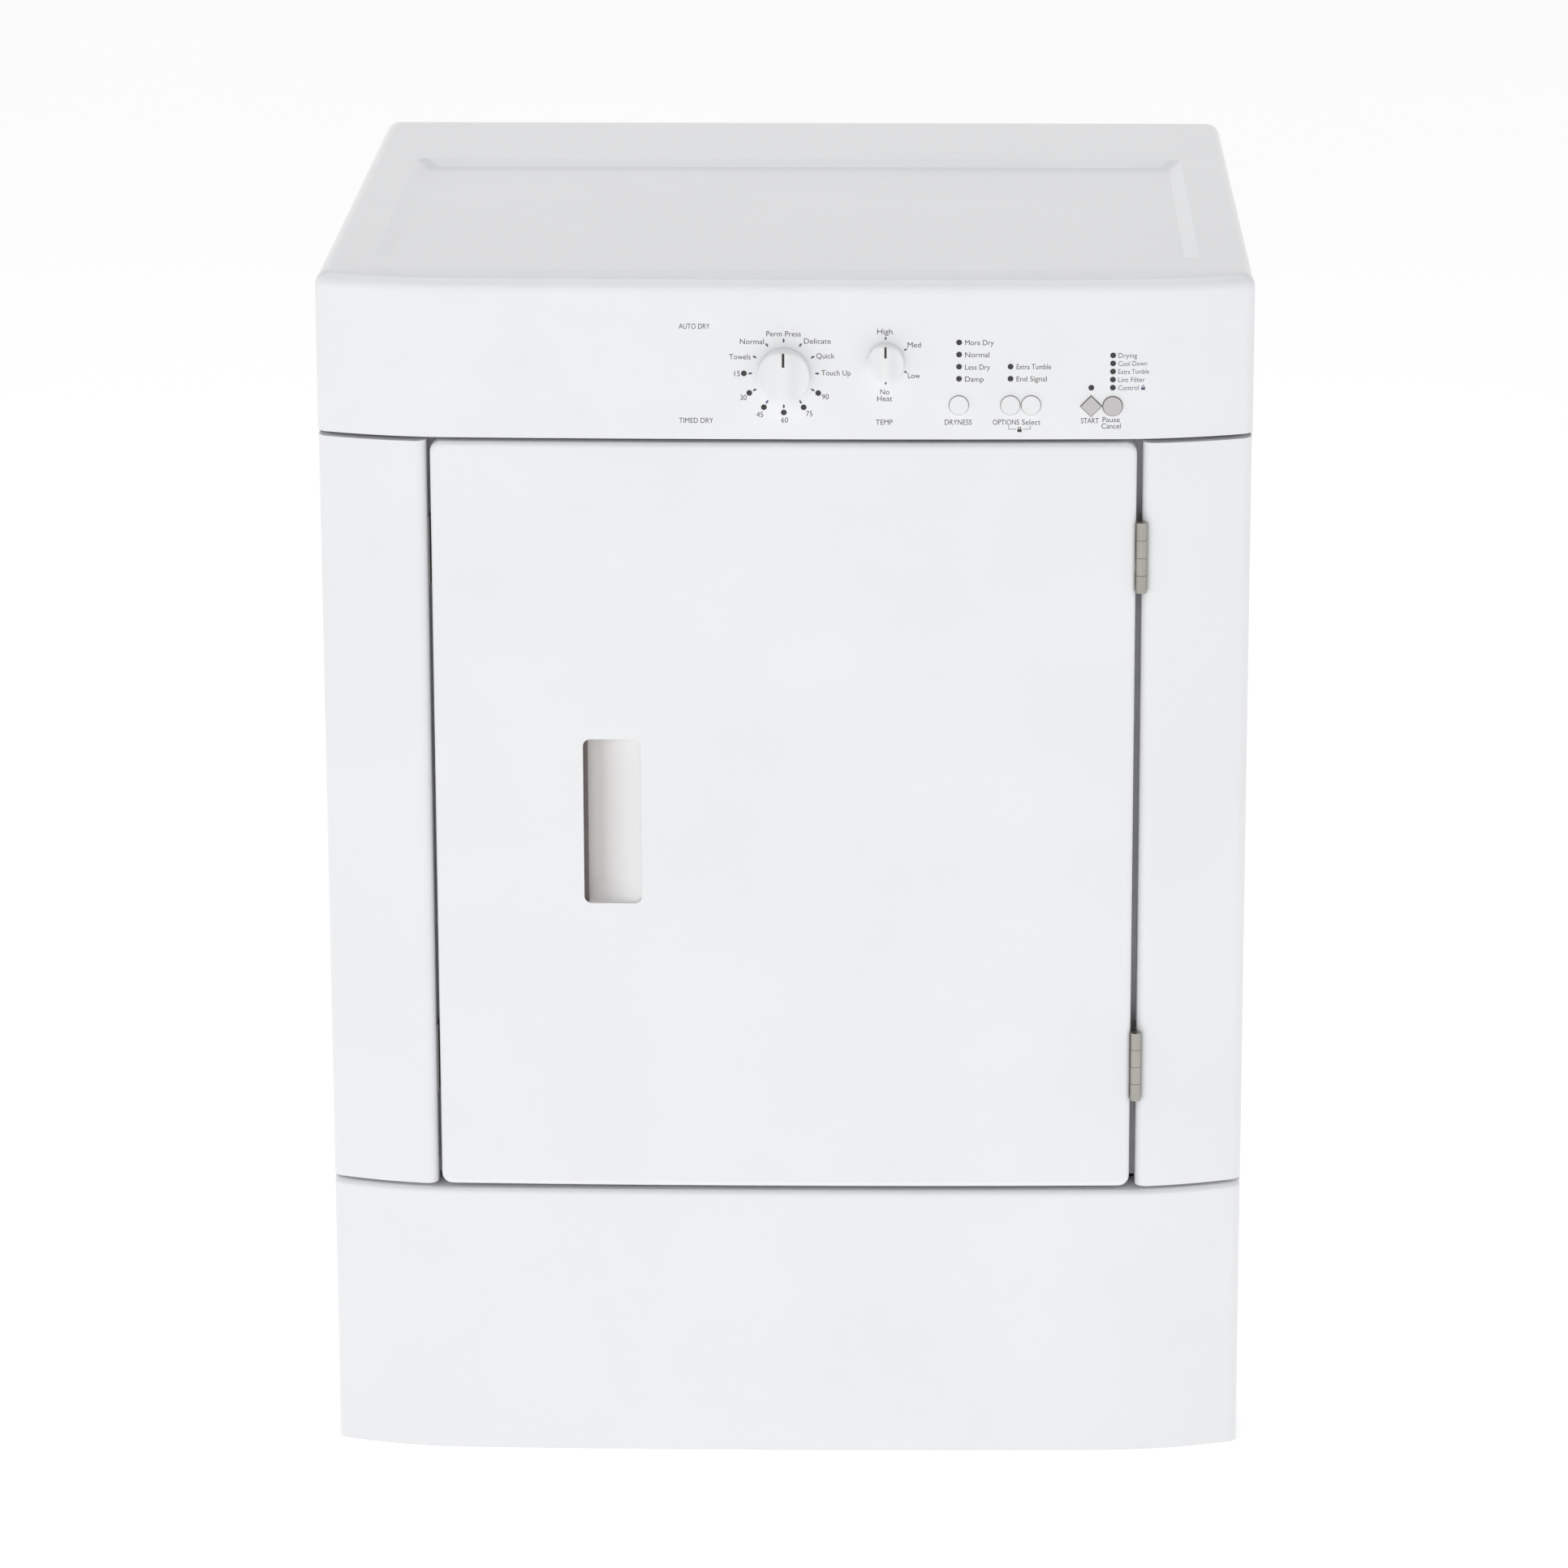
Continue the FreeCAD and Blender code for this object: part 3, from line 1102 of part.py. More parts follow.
def drum_shell():
    body = doc.addObject("PartDesign::Body", "drum_shell")
    profile = new_sketch(body, "drum_profile", "XZ_Plane")
    length = "(drum_end - drum_start)"
    outer = "drum_radius"
    inner = "drum_radius - drum_wall"
    cone = "neck_length + neck_slope"
    polygon(profile, [("neck_radius", "0"), ("neck_radius + drum_wall", "0"),
                      ("neck_radius + drum_wall", "neck_length - 0.4"), (outer, f"{cone} - 0.4"),
                      (outer, length), ("0", length), ("0", f"{length} - drum_wall"),
                      (inner, f"{length} - drum_wall"), (inner, cone), ("neck_radius", "neck_length")])
    shell = body.newObject("PartDesign::Revolution", "drum_turned")
    shell.Profile = profile
    shell.ReferenceAxis = (profile, ["V_Axis"])
    shell.Angle = 360
    doc.recompute()
    rings = [("drum_corner_outer", outer, length, "12"),
             ("drum_corner_inner", inner, f"{length} - drum_wall", "(12 - drum_wall)")]
    base = shell
    for name, radius, level, round_radius in rings:
        def wanted(edge, level=number(level), radius=number(radius)):
            box = edge.BoundBox
            return near(box.ZMin, level) and near(box.ZMax, level) and near(box.XLength / 2, radius, 1)
        base = round_edges(body, name, base, round_radius, wanted)
        doc.recompute()
    spoke = new_sketch(body, "drum_hole_spoke", "XY_Plane", length)
    for index in range(3):
        centre = f"heater_radius - 36 - {index} * 34"
        spoke.addGeometry(Part.Circle(V(number(centre), 0, 0), V(0, 0, 1), number("drum_hole")), False)
        hold(spoke, "Radius", index, text="drum_hole", label=f"hole_{index}")
        hold(spoke, "DistanceX", -1, 1, index, 3, text=centre, label=f"reach_{index}")
        spoke.addConstraint(Sketcher.Constraint("PointOnObject", index, 3, -1))
    holes = body.newObject("PartDesign::Pocket", "drum_holes")
    holes.Profile = spoke
    holes.setExpression("Length", formula("drum_wall + 2"))
    polar(body, "drum_perforation", holes, spoke, "20")
    turned(body)
    subpart(body)


def drum_lifters():
    """Three hollow baffles along the drum wall."""
    length = "(drum_end - drum_start)"
    low = "neck_length + neck_slope + 16"
    baffles = []
    for index in range(3):
        layers = []
        for layer, shrink in (("outer", "0"), ("inner", "3")):
            name = f"lifter_{index}_{layer}"
            body = doc.addObject("PartDesign::Body", name)
            start = f"{low} + {shrink}"
            section = new_sketch(body, name + "_section", "XY_Plane", start)
            crest = f"(drum_radius - drum_wall - lifter_height + 1.4 * {shrink})"
            base = f"(lifter_half - 1.2 * {shrink})"
            top = f"(lifter_half * 0.3 - 0.6 * {shrink})"
            polygon(section, [(crest, f"-{top}"), ("drum_radius + 4", f"-{base}"),
                              ("drum_radius + 4", base), (crest, top)])
            pad = pad_of(body, name + "_pad", section, f"{length} - 16 - {shrink} - ({start})")

            def ridge(edge):
                return is_along(edge, 2) and edge.CenterOfMass.x < number("drum_radius") - 10
            round_edges(body, name + "_ridge", pad, f"(9 - {shrink})", ridge)
            turned(body, 90 + 120 * index)
            layers.append(body)
        room = rod(f"lifter_{index}_room", "drum_radius - drum_wall - 0.2", "Y",
                   ("0", "drum_start", "drum_level"), length)
        solid = common(f"lifter_{index}_solid", layers[0], room)
        baffles.append(cut(f"lifter_{index}", solid, layers[1]))
    subpart(group("drum_lifters", *baffles))


def drum_shaft():
    disc = rod("shaft_spider", "70", "Y", ("0", "drum_end", "drum_level"), "4")
    axle = rod("shaft_axle", "shaft_radius", "Y", ("0", "drum_end + 3", "drum_level"),
               "back_y - 2 * sheet_wall - 8 - drum_end - 3")
    subpart(fuse("drum_shaft", disc, axle))
    subpart(tube("drum_bearing", "bearing_radius", "shaft_radius + running_clearance", "Y",
                 ("0", "back_y - 2 * sheet_wall - 38", "drum_level"), "38"))


# ---------------------------------------------------------------- door


def door_shape(name, inset, back, corner, roll):
    x_range = (f"door_left + {inset}", f"door_right - {inset}")
    z_range = (f"column_bottom + {inset}", f"column_top - {inset}")
    body, base = bowed_block(name, x_range, z_range, back, "half_width", inset)
    corners = round_edges(body, name + "_corners", base, corner, lambda edge: is_along(edge, 1))
    rear = number(back)
    shoulder = number("half_width - shoulder_inset")

    def perimeter(edge):
        box = edge.BoundBox
        seam = is_along(edge, 2) and near(abs(edge.CenterOfMass.x), shoulder, 0.5)
        return box.YMax < rear - 1 and not is_along(edge, 1) and not seam
    round_edges(body, name + "_roll", corners, roll, perimeter)
    return body


def handle_ranges():
    left = "-handle_left"
    return (left, f"{left} + handle_width"), ("handle_bottom", "handle_bottom + handle_tall")


def door_outer_panel():
    skin = door_shape("door_skin", "0", "door_y", "door_round", "door_roll")
    hollow = door_shape("door_hollow", "sheet_wall", "door_y + 1", "(door_round - sheet_wall)",
                        "(door_roll - sheet_wall)")
    across, level = handle_ranges()
    opening = rounded_plate("door_handle_opening", across,
                            ("front_y - front_bulge - 4", "front_y - front_bulge + 8"), level,
                            "handle_round")
    subpart(cut("door_outer_panel", skin, hollow, opening))


def handle_cup():
    """A cup behind the opening: deep under its left lip, rising flush to the right."""
    across, level = handle_ranges()
    floor = "front_y - front_bulge + handle_deep"
    back = f"{floor} + cup_wall + 1"
    name = "cup_block"
    x_range = (f"{across[0]} - handle_undercut - cup_wall", f"{across[1]} + 3")
    z_range = (f"{level[0]} - cup_wall - 1", f"{level[1]} + cup_wall + 1")
    body = bowed_block(name, x_range, z_range, back, "half_width", "(sheet_wall + 0.3)")[0]
    scoop = doc.addObject("PartDesign::Body", "cup_scoop")
    plan = new_sketch(scoop, "cup_scoop_plan", "XY_Plane", level[0])
    ahead = "front_y - front_bulge - 4"
    lip = "front_y - front_bulge + 5"
    polygon(plan, [(across[0], ahead), (across[1], ahead), (across[1], "front_y - front_bulge + 2.6"),
                   (f"{across[0]} + 10", floor), (f"{across[0]} - handle_undercut", floor),
                   (f"{across[0]} - handle_undercut", lip), (across[0], lip)])
    pad = pad_of(scoop, "cup_scoop_pad", plan, f"({level[1]}) - ({level[0]})")
    deepest = number(floor)

    def floor_bend(edge):
        middle = edge.CenterOfMass
        return is_along(edge, 2) and near(middle.y, deepest) and middle.x > number(across[0]) + 5
    round_edges(scoop, "cup_scoop_bend", pad, "14", floor_bend)
    posts = []
    for step in (2, 42):
        posts.append(block(f"cup_post_{step}", (f"{x_range[0]} + {step}", f"{x_range[0]} + {step} + 6"),
                           (f"{back} - 1", "door_y - door_plate"),
                           (f"{level[0]} + 50", f"{level[0]} + 70")))
    cup = cut("cup_hollow", body, scoop)
    subpart(fuse("handle_cup", cup, *posts))


def rolled_disc(name, radius, at, length, roll):
    """A disc along +Y whose far rim is rolled."""
    body = doc.addObject("PartDesign::Body", name)
    rim = circle_sketch(body, name + "_rim", radius)
    pad = pad_of(body, name + "_pad", rim, length)

    def far_rim(edge):
        return near(edge.BoundBox.ZMin, number(length))
    round_edges(body, name + "_roll", pad, roll, far_rim)
    body.Placement = FreeCAD.Placement(V(), TURN["Y"])
    for letter, text in zip("xyz", at):
        body.setExpression("Placement.Base." + letter, formula(text))
    return body


def door_inner_panel():
    plate = rounded_plate("inner_plate", ("door_left + sheet_wall", "door_right - sheet_wall"),
                          ("door_y - door_plate", "door_y"),
                          ("column_bottom + sheet_wall", "column_top - sheet_wall"),
                          "(door_round - sheet_wall)")
    start = ("0", "door_y - 0.5", "throat_level")
    plug = rolled_disc("inner_plug", "plug_radius", start, "plug_length + 0.5", "8")
    inside = ("0", "door_y - door_plate - 1", "throat_level")
    dish = rolled_disc("inner_dish", "plug_radius - plug_wall", inside,
                       "plug_length + door_plate + 1 - plug_wall", "6.5")
    subpart(cut("door_inner_panel", fuse("inner_solid", plate, plug), dish))
    subpart(tube("door_gasket", "throat_radius + 4 + gasket_width", "throat_radius + 4", "Y",
                 ("0", "door_y", "throat_level"), "recess_depth - door_back - seal_gap"))
    shank = block("strike_shank", ("catch_x - 2", "catch_x + 2"), ("door_y", "door_y + 14"),
                  ("throat_level - 4", "throat_level + 4"))
    tip = rod("strike_tip", "3.2", "Z", ("catch_x", "door_y + 14", "throat_level - 4"), "8")
    subpart(fuse("door_strike", shank, tip))
    screws = []
    for side in ("door_left + 14", "door_right - 14"):
        for level in ("column_bottom + 40", "throat_level + 150", "column_top - 40"):
            screws.append(rod(f"door_screw_{len(screws)}", "screw_radius", "Y",
                              (side, "door_y", level), "1.8"))
    subpart(group("door_screws", *screws))


def hinges():
    knuckle = "((hinge_tall - 3 * hinge_slack) / 4)"
    cabinet_parts, door_parts, pins, plugs = [], [], [], []
    for name, level in (("upper", "upper_hinge"), ("lower", "lower_hinge")):
        foot = f"{level} - hinge_tall / 2"
        cabinet_group, door_group = [], []
        for index in range(4):
            start = f"{foot} + {index} * ({knuckle} + hinge_slack)"
            fixed = index % 2 == 0
            part = f"{name}_knuckle_{index}"
            barrel = tube(part, "hinge_barrel", "hinge_pin + pin_clearance", "Z",
                          ("hinge_x", "hinge_y", start), knuckle)
            if fixed:
                x_range = ("column_edge - hinge_leaf", "column_edge")
                y_range = ("hinge_y + 2.8", "hinge_y + 6")
            else:
                x_range = ("door_right", "door_right + hinge_leaf")
                y_range = ("hinge_y", "hinge_y + 6")
            tab = block(part + "_tab", x_range, y_range, (start, f"{start} + {knuckle}"))
            (cabinet_group if fixed else door_group).extend((barrel, tab))
        tall = (foot, f"{foot} + hinge_tall")
        cabinet_group.append(block(f"{name}_cabinet_leaf", ("column_edge - hinge_leaf", "column_edge"),
                                   ("hinge_y + 5.5", "plate_y"), tall))
        door_group.append(block(f"{name}_door_leaf", ("door_right", "door_right + hinge_leaf"),
                                ("hinge_y + 5.5", "door_y"), tall))
        cabinet_parts.append(fuse(f"{name}_cabinet_hinge", *cabinet_group))
        door_parts.append(fuse(f"{name}_door_hinge", *door_group))
        pins.append(rod(f"{name}_pin", "hinge_pin", "Z", ("hinge_x", "hinge_y", foot), "hinge_tall"))
        plugs.append(block(f"{name}_plug", ("-column_edge", "-column_edge + hinge_leaf"),
                           ("hinge_y + 12", "front_y + 4"), tall))
    subpart(group("hinge_cabinet_leaves", *cabinet_parts))
    subpart(group("hinge_door_leaves", *door_parts))
    subpart(group("hinge_pins", *pins))
    subpart(group("hinge_hole_plugs", *plugs))


def door_hardware():
    case = block("catch_case", ("catch_x - 10", "catch_x + 10"),
                 ("plate_y + sheet_wall", "plate_y + sheet_wall + 20"),
                 ("throat_level - 13", "throat_level + 13"))
    pocket = block("catch_pocket", ("catch_x - 7", "catch_x + 7"),
                   ("plate_y", "plate_y + sheet_wall + 17"), ("throat_level - 9", "throat_level + 9"))
    subpart(cut("door_catch", case, pocket))
    subpart(block("door_switch", ("catch_x - 10", "catch_x + 10"),
                  ("plate_y + sheet_wall", "plate_y + sheet_wall + 12"),
                  ("throat_level + 60", "throat_level + 100")))


# ---------------------------------------------------------------- back, feet and fastenings


def back_fittings():
    outer = block("cover_outer", ("inlet_right - 38", "inlet_right + 38"), ("back_y", "back_y + 12"),
                  ("inlet_level + 18", "inlet_level + 128"))
    hollow = block("cover_hollow", ("inlet_right - 37", "inlet_right + 37"), ("back_y - 1", "back_y + 11"),
                   ("inlet_level + 19", "inlet_level + 127"))
    subpart(cut("terminal_cover", outer, hollow))
    subpart(tube("cord_inlet_bushing", "inlet_bore + 4", "inlet_bore", "Y",
                 ("inlet_right", "back_y", "inlet_level"), "6"))
    screws = []
    for side in ("-half_width + 14", "half_width - 14"):
        for row in range(4):
            level = f"foot_gap + 30 + {row} * (rim_bottom - foot_gap - 60) / 3"
            screws.append(rod(f"cabinet_screw_{len(screws)}", "screw_radius", "Y",
                              (side, "back_y", level), "1.8"))
    subpart(group("cabinet_screws", *screws))


def levelling_legs():
    for name, (across, along) in LEGS.items():
        pad = rod(f"{name}_pad", "leg_radius", "Z", (across, along, "0"), "foot_gap - 3.5")
        neck = doc.addObject("Part::Prism", f"{name}_nut")
        neck.Polygon = 6
        neck.setExpression("Circumradius", formula("stud_radius + 5"))
        neck.setExpression("Height", "3.2")
        place(neck, (across, along, "foot_gap - 3.5"))
        stud = rod(f"{name}_stud", "stud_radius", "Z", (across, along, "1"), "stud_top - 1")
        subpart(fuse(name, pad, neck, stud))


# ---------------------------------------------------------------- build, check and write


def check_document():
    """Stop at the first failed object or broken sub-part."""
    failed = [made.Name for made in doc.Objects if "Invalid" in made.State or "Error" in made.State]
    if failed:
        raise RuntimeError("failed objects " + ", ".join(failed))
    broken = [made.Label for made in SUBPARTS
              if made.Shape.isNull() or not made.Shape.isValid() or not made.Shape.Solids]
    if broken:
        raise RuntimeError("bad shapes " + ", ".join(broken))


def main():
    for build in (side_panels, rear_panel, base_pan, top_panel, kick_panel, front_panel,
                  console_fascia, control_board, indicator_lenses, rotary_switches, knobs, buttons,
                  front_bulkhead, drum_seals, heater, lint_duct, lint_filter, blower, blower_wheel,
                  motor, motor_cradle, idler, drive_belt, drum_shell, drum_lifters, drum_shaft,
                  door_outer_panel, handle_cup, door_inner_panel, hinges, door_hardware,
                  back_fittings, levelling_legs):
        build()
    doc.recompute()
    check_document()
    os.makedirs("parts", exist_ok=True)
    for made in SUBPARTS:
        made.Shape.exportStep(os.path.join("parts", made.Label + ".step"))
    print(len(SUBPARTS), "sub-parts written")


main()
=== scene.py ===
"""A front-control clothes dryer: finishes, controls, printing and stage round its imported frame."""
import math

import bmesh
import bpy
from bpy.props import FloatProperty, PointerProperty, StringProperty
from mathutils import Matrix, Vector
from mathutils.bvhtree import BVHTree


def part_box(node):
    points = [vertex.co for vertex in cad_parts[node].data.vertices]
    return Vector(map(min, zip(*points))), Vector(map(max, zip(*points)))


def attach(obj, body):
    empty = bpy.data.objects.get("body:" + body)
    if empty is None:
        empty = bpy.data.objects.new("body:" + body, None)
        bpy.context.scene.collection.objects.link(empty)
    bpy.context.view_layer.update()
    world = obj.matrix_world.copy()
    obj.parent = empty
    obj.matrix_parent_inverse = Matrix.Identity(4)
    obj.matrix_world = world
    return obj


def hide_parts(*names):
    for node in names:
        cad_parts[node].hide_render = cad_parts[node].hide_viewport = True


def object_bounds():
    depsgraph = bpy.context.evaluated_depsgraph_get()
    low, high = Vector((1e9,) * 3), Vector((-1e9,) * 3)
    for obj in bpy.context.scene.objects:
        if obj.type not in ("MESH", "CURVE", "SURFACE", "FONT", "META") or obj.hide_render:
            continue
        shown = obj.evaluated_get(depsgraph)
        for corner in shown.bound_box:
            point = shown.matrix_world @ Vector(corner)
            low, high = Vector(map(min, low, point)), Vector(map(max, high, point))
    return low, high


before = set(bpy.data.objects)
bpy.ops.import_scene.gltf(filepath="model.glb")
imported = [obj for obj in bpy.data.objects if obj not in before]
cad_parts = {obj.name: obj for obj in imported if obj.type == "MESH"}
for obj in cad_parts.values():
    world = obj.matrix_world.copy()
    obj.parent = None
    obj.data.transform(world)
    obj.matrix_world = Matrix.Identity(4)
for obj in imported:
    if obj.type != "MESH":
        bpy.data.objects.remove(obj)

bl_info = {
    "name": "Clothes dryer",
    "version": (1, 0, 0),
    "blender": (4, 5, 0),
    "location": "View3D > Sidebar > Dryer",
    "description": "Finishes, controls and printing for a bowed-front clothes dryer",
    "category": "Object",
}

for spare in [item for item in bpy.context.scene.objects
              if item.type in {"MESH", "LIGHT", "CAMERA"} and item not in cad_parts.values()]:
    bpy.data.objects.remove(spare)

MM = 0.001
INK = 0.04 * MM          # how proud the printing stands
ROSE = 24.4 * MM         # radius of the ring of ticks round the cycle knob
VALLEY = 0.72            # how far out the knobs' valleys are deepest, as a share of the radius
LIP = 1.3 * MM           # radius of the knobs' rounded rims
CUP_DEEP = -152 * MM     # X where the handle cup is deepest and its painted shade darkest
CUP_SHALLOW = -116 * MM  # X where the cup's painted shade ends and its full white begins
CAPITAL = 0.729          # cap height of the lettering before it is scaled
OCTAVES = 3.0            # how many finer layers each noise has
CAD_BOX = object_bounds()


# ---------------------------------------------------------------- materials


def linear(hex_code):
    """An sRGB hex value as linear red, green, blue and full alpha."""
    channels = [int(hex_code[index:index + 2], 16) / 255 for index in (0, 2, 4)]
    bent = [value / 12.92 if value <= 0.04045 else ((value + 0.055) / 1.055) ** 2.4 for value in channels]
    return (*bent, 1.0)


def add_node(tree, kind, sockets=None, **settings):
    """Add one node: settings are its properties, and each socket takes a value or a link."""
    node = tree.nodes.new(kind)
    for name, value in settings.items():
        setattr(node, name, value)
    for name, value in (sockets or {}).items():
        if isinstance(value, bpy.types.NodeSocket):
            tree.links.new(value, node.inputs[name])
        else:
            node.inputs[name].default_value = value
    return node


def start_material(name, values):
    """An empty node material and its shader, with the shader's constants on its own sockets."""
    material = bpy.data.materials.new(name)
    material.use_nodes = True
    tree = material.node_tree
    shader = next(node for node in tree.nodes if node.type == "BSDF_PRINCIPLED")
    for socket, value in values.items():
        shader.inputs[socket].default_value = value
    place = add_node(tree, "ShaderNodeTexCoord").outputs["Object"]
    return material, tree, shader, place


def finish_surface(tree, shader, colour_by, colours, roughness_by, roughness, height, depth_mm):
    """Colour between two hex values, roughness between two numbers, and a bump of a real depth."""
    blend = add_node(tree, "ShaderNodeMix", {0: colour_by, 6: linear(colours[0]), 7: linear(colours[1])},
                     data_type="RGBA")
    tree.links.new(blend.outputs[2], shader.inputs["Base Color"])
    spread = add_node(tree, "ShaderNodeMapRange",
                      {"Value": roughness_by, "To Min": roughness[0], "To Max": roughness[1]})
    tree.links.new(spread.outputs["Result"], shader.inputs["Roughness"])
    relief = add_node(tree, "ShaderNodeBump", {"Height": height, "Distance": depth_mm * MM})
    tree.links.new(relief.outputs["Normal"], shader.inputs["Normal"])


def grainy(name, colours, roughness, grain_mm, depth_mm, cloud_mm=60, stretch=(1, 1, 1), **values):
    """A surface with a slow drift of tone and a fine grain that carries its gloss and relief."""
    material, tree, shader, place = start_material(
        name, {key.replace("_", " "): value for key, value in values.items()})
    drawn = add_node(tree, "ShaderNodeMapping", {"Vector": place, "Scale": stretch}).outputs["Vector"]
    cloud = add_node(tree, "ShaderNodeTexNoise",
                     {"Vector": place, "Scale": 1 / (cloud_mm * MM), "Detail": OCTAVES})
    grain = add_node(tree, "ShaderNodeTexNoise",
                     {"Vector": drawn, "Scale": 1 / (grain_mm * MM), "Detail": OCTAVES})
    finish_surface(tree, shader, cloud.outputs["Fac"], colours, grain.outputs["Fac"], roughness,
                   grain.outputs["Fac"], depth_mm)
    return material


def powder_coated_steel(name, colours, roughness):
    """Baked powder enamel on sheet steel: an even white whose faint orange peel, about 2.4 mm from
    crest to crest, softens the reflections under a clear gloss."""
    return grainy(name, colours, roughness, grain_mm=2.4, depth_mm=0.004, cloud_mm=120,
                  IOR=1.5, Coat_Weight=0.25, Coat_Roughness=0.12)


def moulded_abs(name, colours, roughness=(0.34, 0.46)):
    """Injection-moulded ABS: dense colour and a soft sheen from a spark-eroded grain of 0.9 mm."""
    return grainy(name, colours, roughness, grain_mm=0.9, depth_mm=0.005, cloud_mm=40, IOR=1.53)


def moulded_nylon(name, colours, roughness=(0.42, 0.58)):
    """Moulded nylon or polypropylene: slightly waxy, with a lowered specular level."""
    return grainy(name, colours, roughness, grain_mm=1.4, depth_mm=0.012, cloud_mm=25, IOR=1.5,
                  Specular_IOR_Level=0.45)


def galvanised_steel(name, colours):
    """Hot-dip zinc on sheet: crystals about 9 mm across, each with its own tone and gloss."""
    material, tree, shader, place = start_material(name, {"Metallic": 1.0})
    spangle = add_node(tree, "ShaderNodeTexVoronoi", {"Vector": place, "Scale": 1 / (9 * MM)})
    tone = add_node(tree, "ShaderNodeRGBToBW", {"Color": spangle.outputs["Color"]}).outputs["Val"]
    haze = add_node(tree, "ShaderNodeTexNoise", {"Vector": place, "Scale": 1 / (1.5 * MM)})
    finish_surface(tree, shader, tone, colours, tone, (0.34, 0.52), haze.outputs["Fac"], 0.01)
    return material


def drawn_metal(name, colours, roughness, stretch=(1, 1, 0.04)):
    """Plated or bare metal with fine strokes left by the belt: long streaks 0.5 mm apart."""
    return grainy(name, colours, roughness, grain_mm=0.5, depth_mm=0.008, cloud_mm=30, stretch=stretch,
                  Metallic=1.0)


def moulded_rubber(name, colours):
    """Moulded rubber: matt and dusty, with blotches where it has been handled."""
    return grainy(name, colours, (0.62, 0.8), grain_mm=1.2, depth_mm=0.02, cloud_mm=14, IOR=1.52,
                  Sheen_Weight=0.15)


def pressed_felt(name, colours):
    """Pressed wool felt: fibres about 0.6 mm apart, drawn at 1.5 mm so that they show."""
    return grainy(name, colours, (0.9, 1.0), grain_mm=1.5, depth_mm=0.25, cloud_mm=6, IOR=1.45,
                  Sheen_Weight=0.4)


def handle_cup_abs_with_painted_shade(name, colours):
    """Moulded ABS cup with painted shade: its colour darkens to a warm grey towards the deep left side,
    where shade falls in the pocket.
    """
    material, tree, shader, place = start_material(name, {"IOR": 1.53})
    across = add_node(tree, "ShaderNodeSeparateXYZ", {"Vector": place}).outputs["X"]
    # Painted shade: the cup's colour runs from warm grey at its deep left to white, standing for the shade
    # in the pocket.
    thin = add_node(tree, "ShaderNodeMapRange", {"Value": across, "From Min": CUP_DEEP,
                                                 "From Max": CUP_SHALLOW}).outputs["Result"]
    grain = add_node(tree, "ShaderNodeTexNoise",
                     {"Vector": place, "Scale": 1 / (0.9 * MM), "Detail": OCTAVES})
    finish_surface(tree, shader, thin, colours, grain.outputs["Fac"], (0.36, 0.5),
                   grain.outputs["Fac"], 0.006)
    return material


def woven_screen(name, colours):
    """Woven lint screen: threads 0.5 mm apart, drawn 2 mm apart so that the weave shows."""
    material, tree, shader, place = start_material(name, {"IOR": 1.5})
    threads = [add_node(tree, "ShaderNodeTexWave", {"Vector": place, "Scale": math.pi / 10 / (2 * MM)},
                        bands_direction=direction).outputs["Fac"] for direction in ("X", "Z")]
    weave = add_node(tree, "ShaderNodeMath", {0: threads[0], 1: threads[1]}, operation="MAXIMUM")
    finish_surface(tree, shader, weave.outputs["Value"], colours, weave.outputs["Value"], (0.7, 0.45),
                   weave.outputs["Value"], 0.3)
    return material


def screen_ink(name, colours):
    """Screen-printed epoxy ink: thin and matt, slightly mottled by the mesh it came through."""
    return grainy(name, colours, (0.5, 0.62), grain_mm=0.4, depth_mm=0.003, cloud_mm=0.9, IOR=1.5)


def smoked_acrylic(name, colours):
    """Polished smoked acrylic light pipe: nearly black, with one sharp highlight."""
    return grainy(name, colours, (0.06, 0.1), grain_mm=4, depth_mm=0.001, cloud_mm=3, IOR=1.49,
                  Coat_Weight=0.6, Coat_Roughness=0.03)


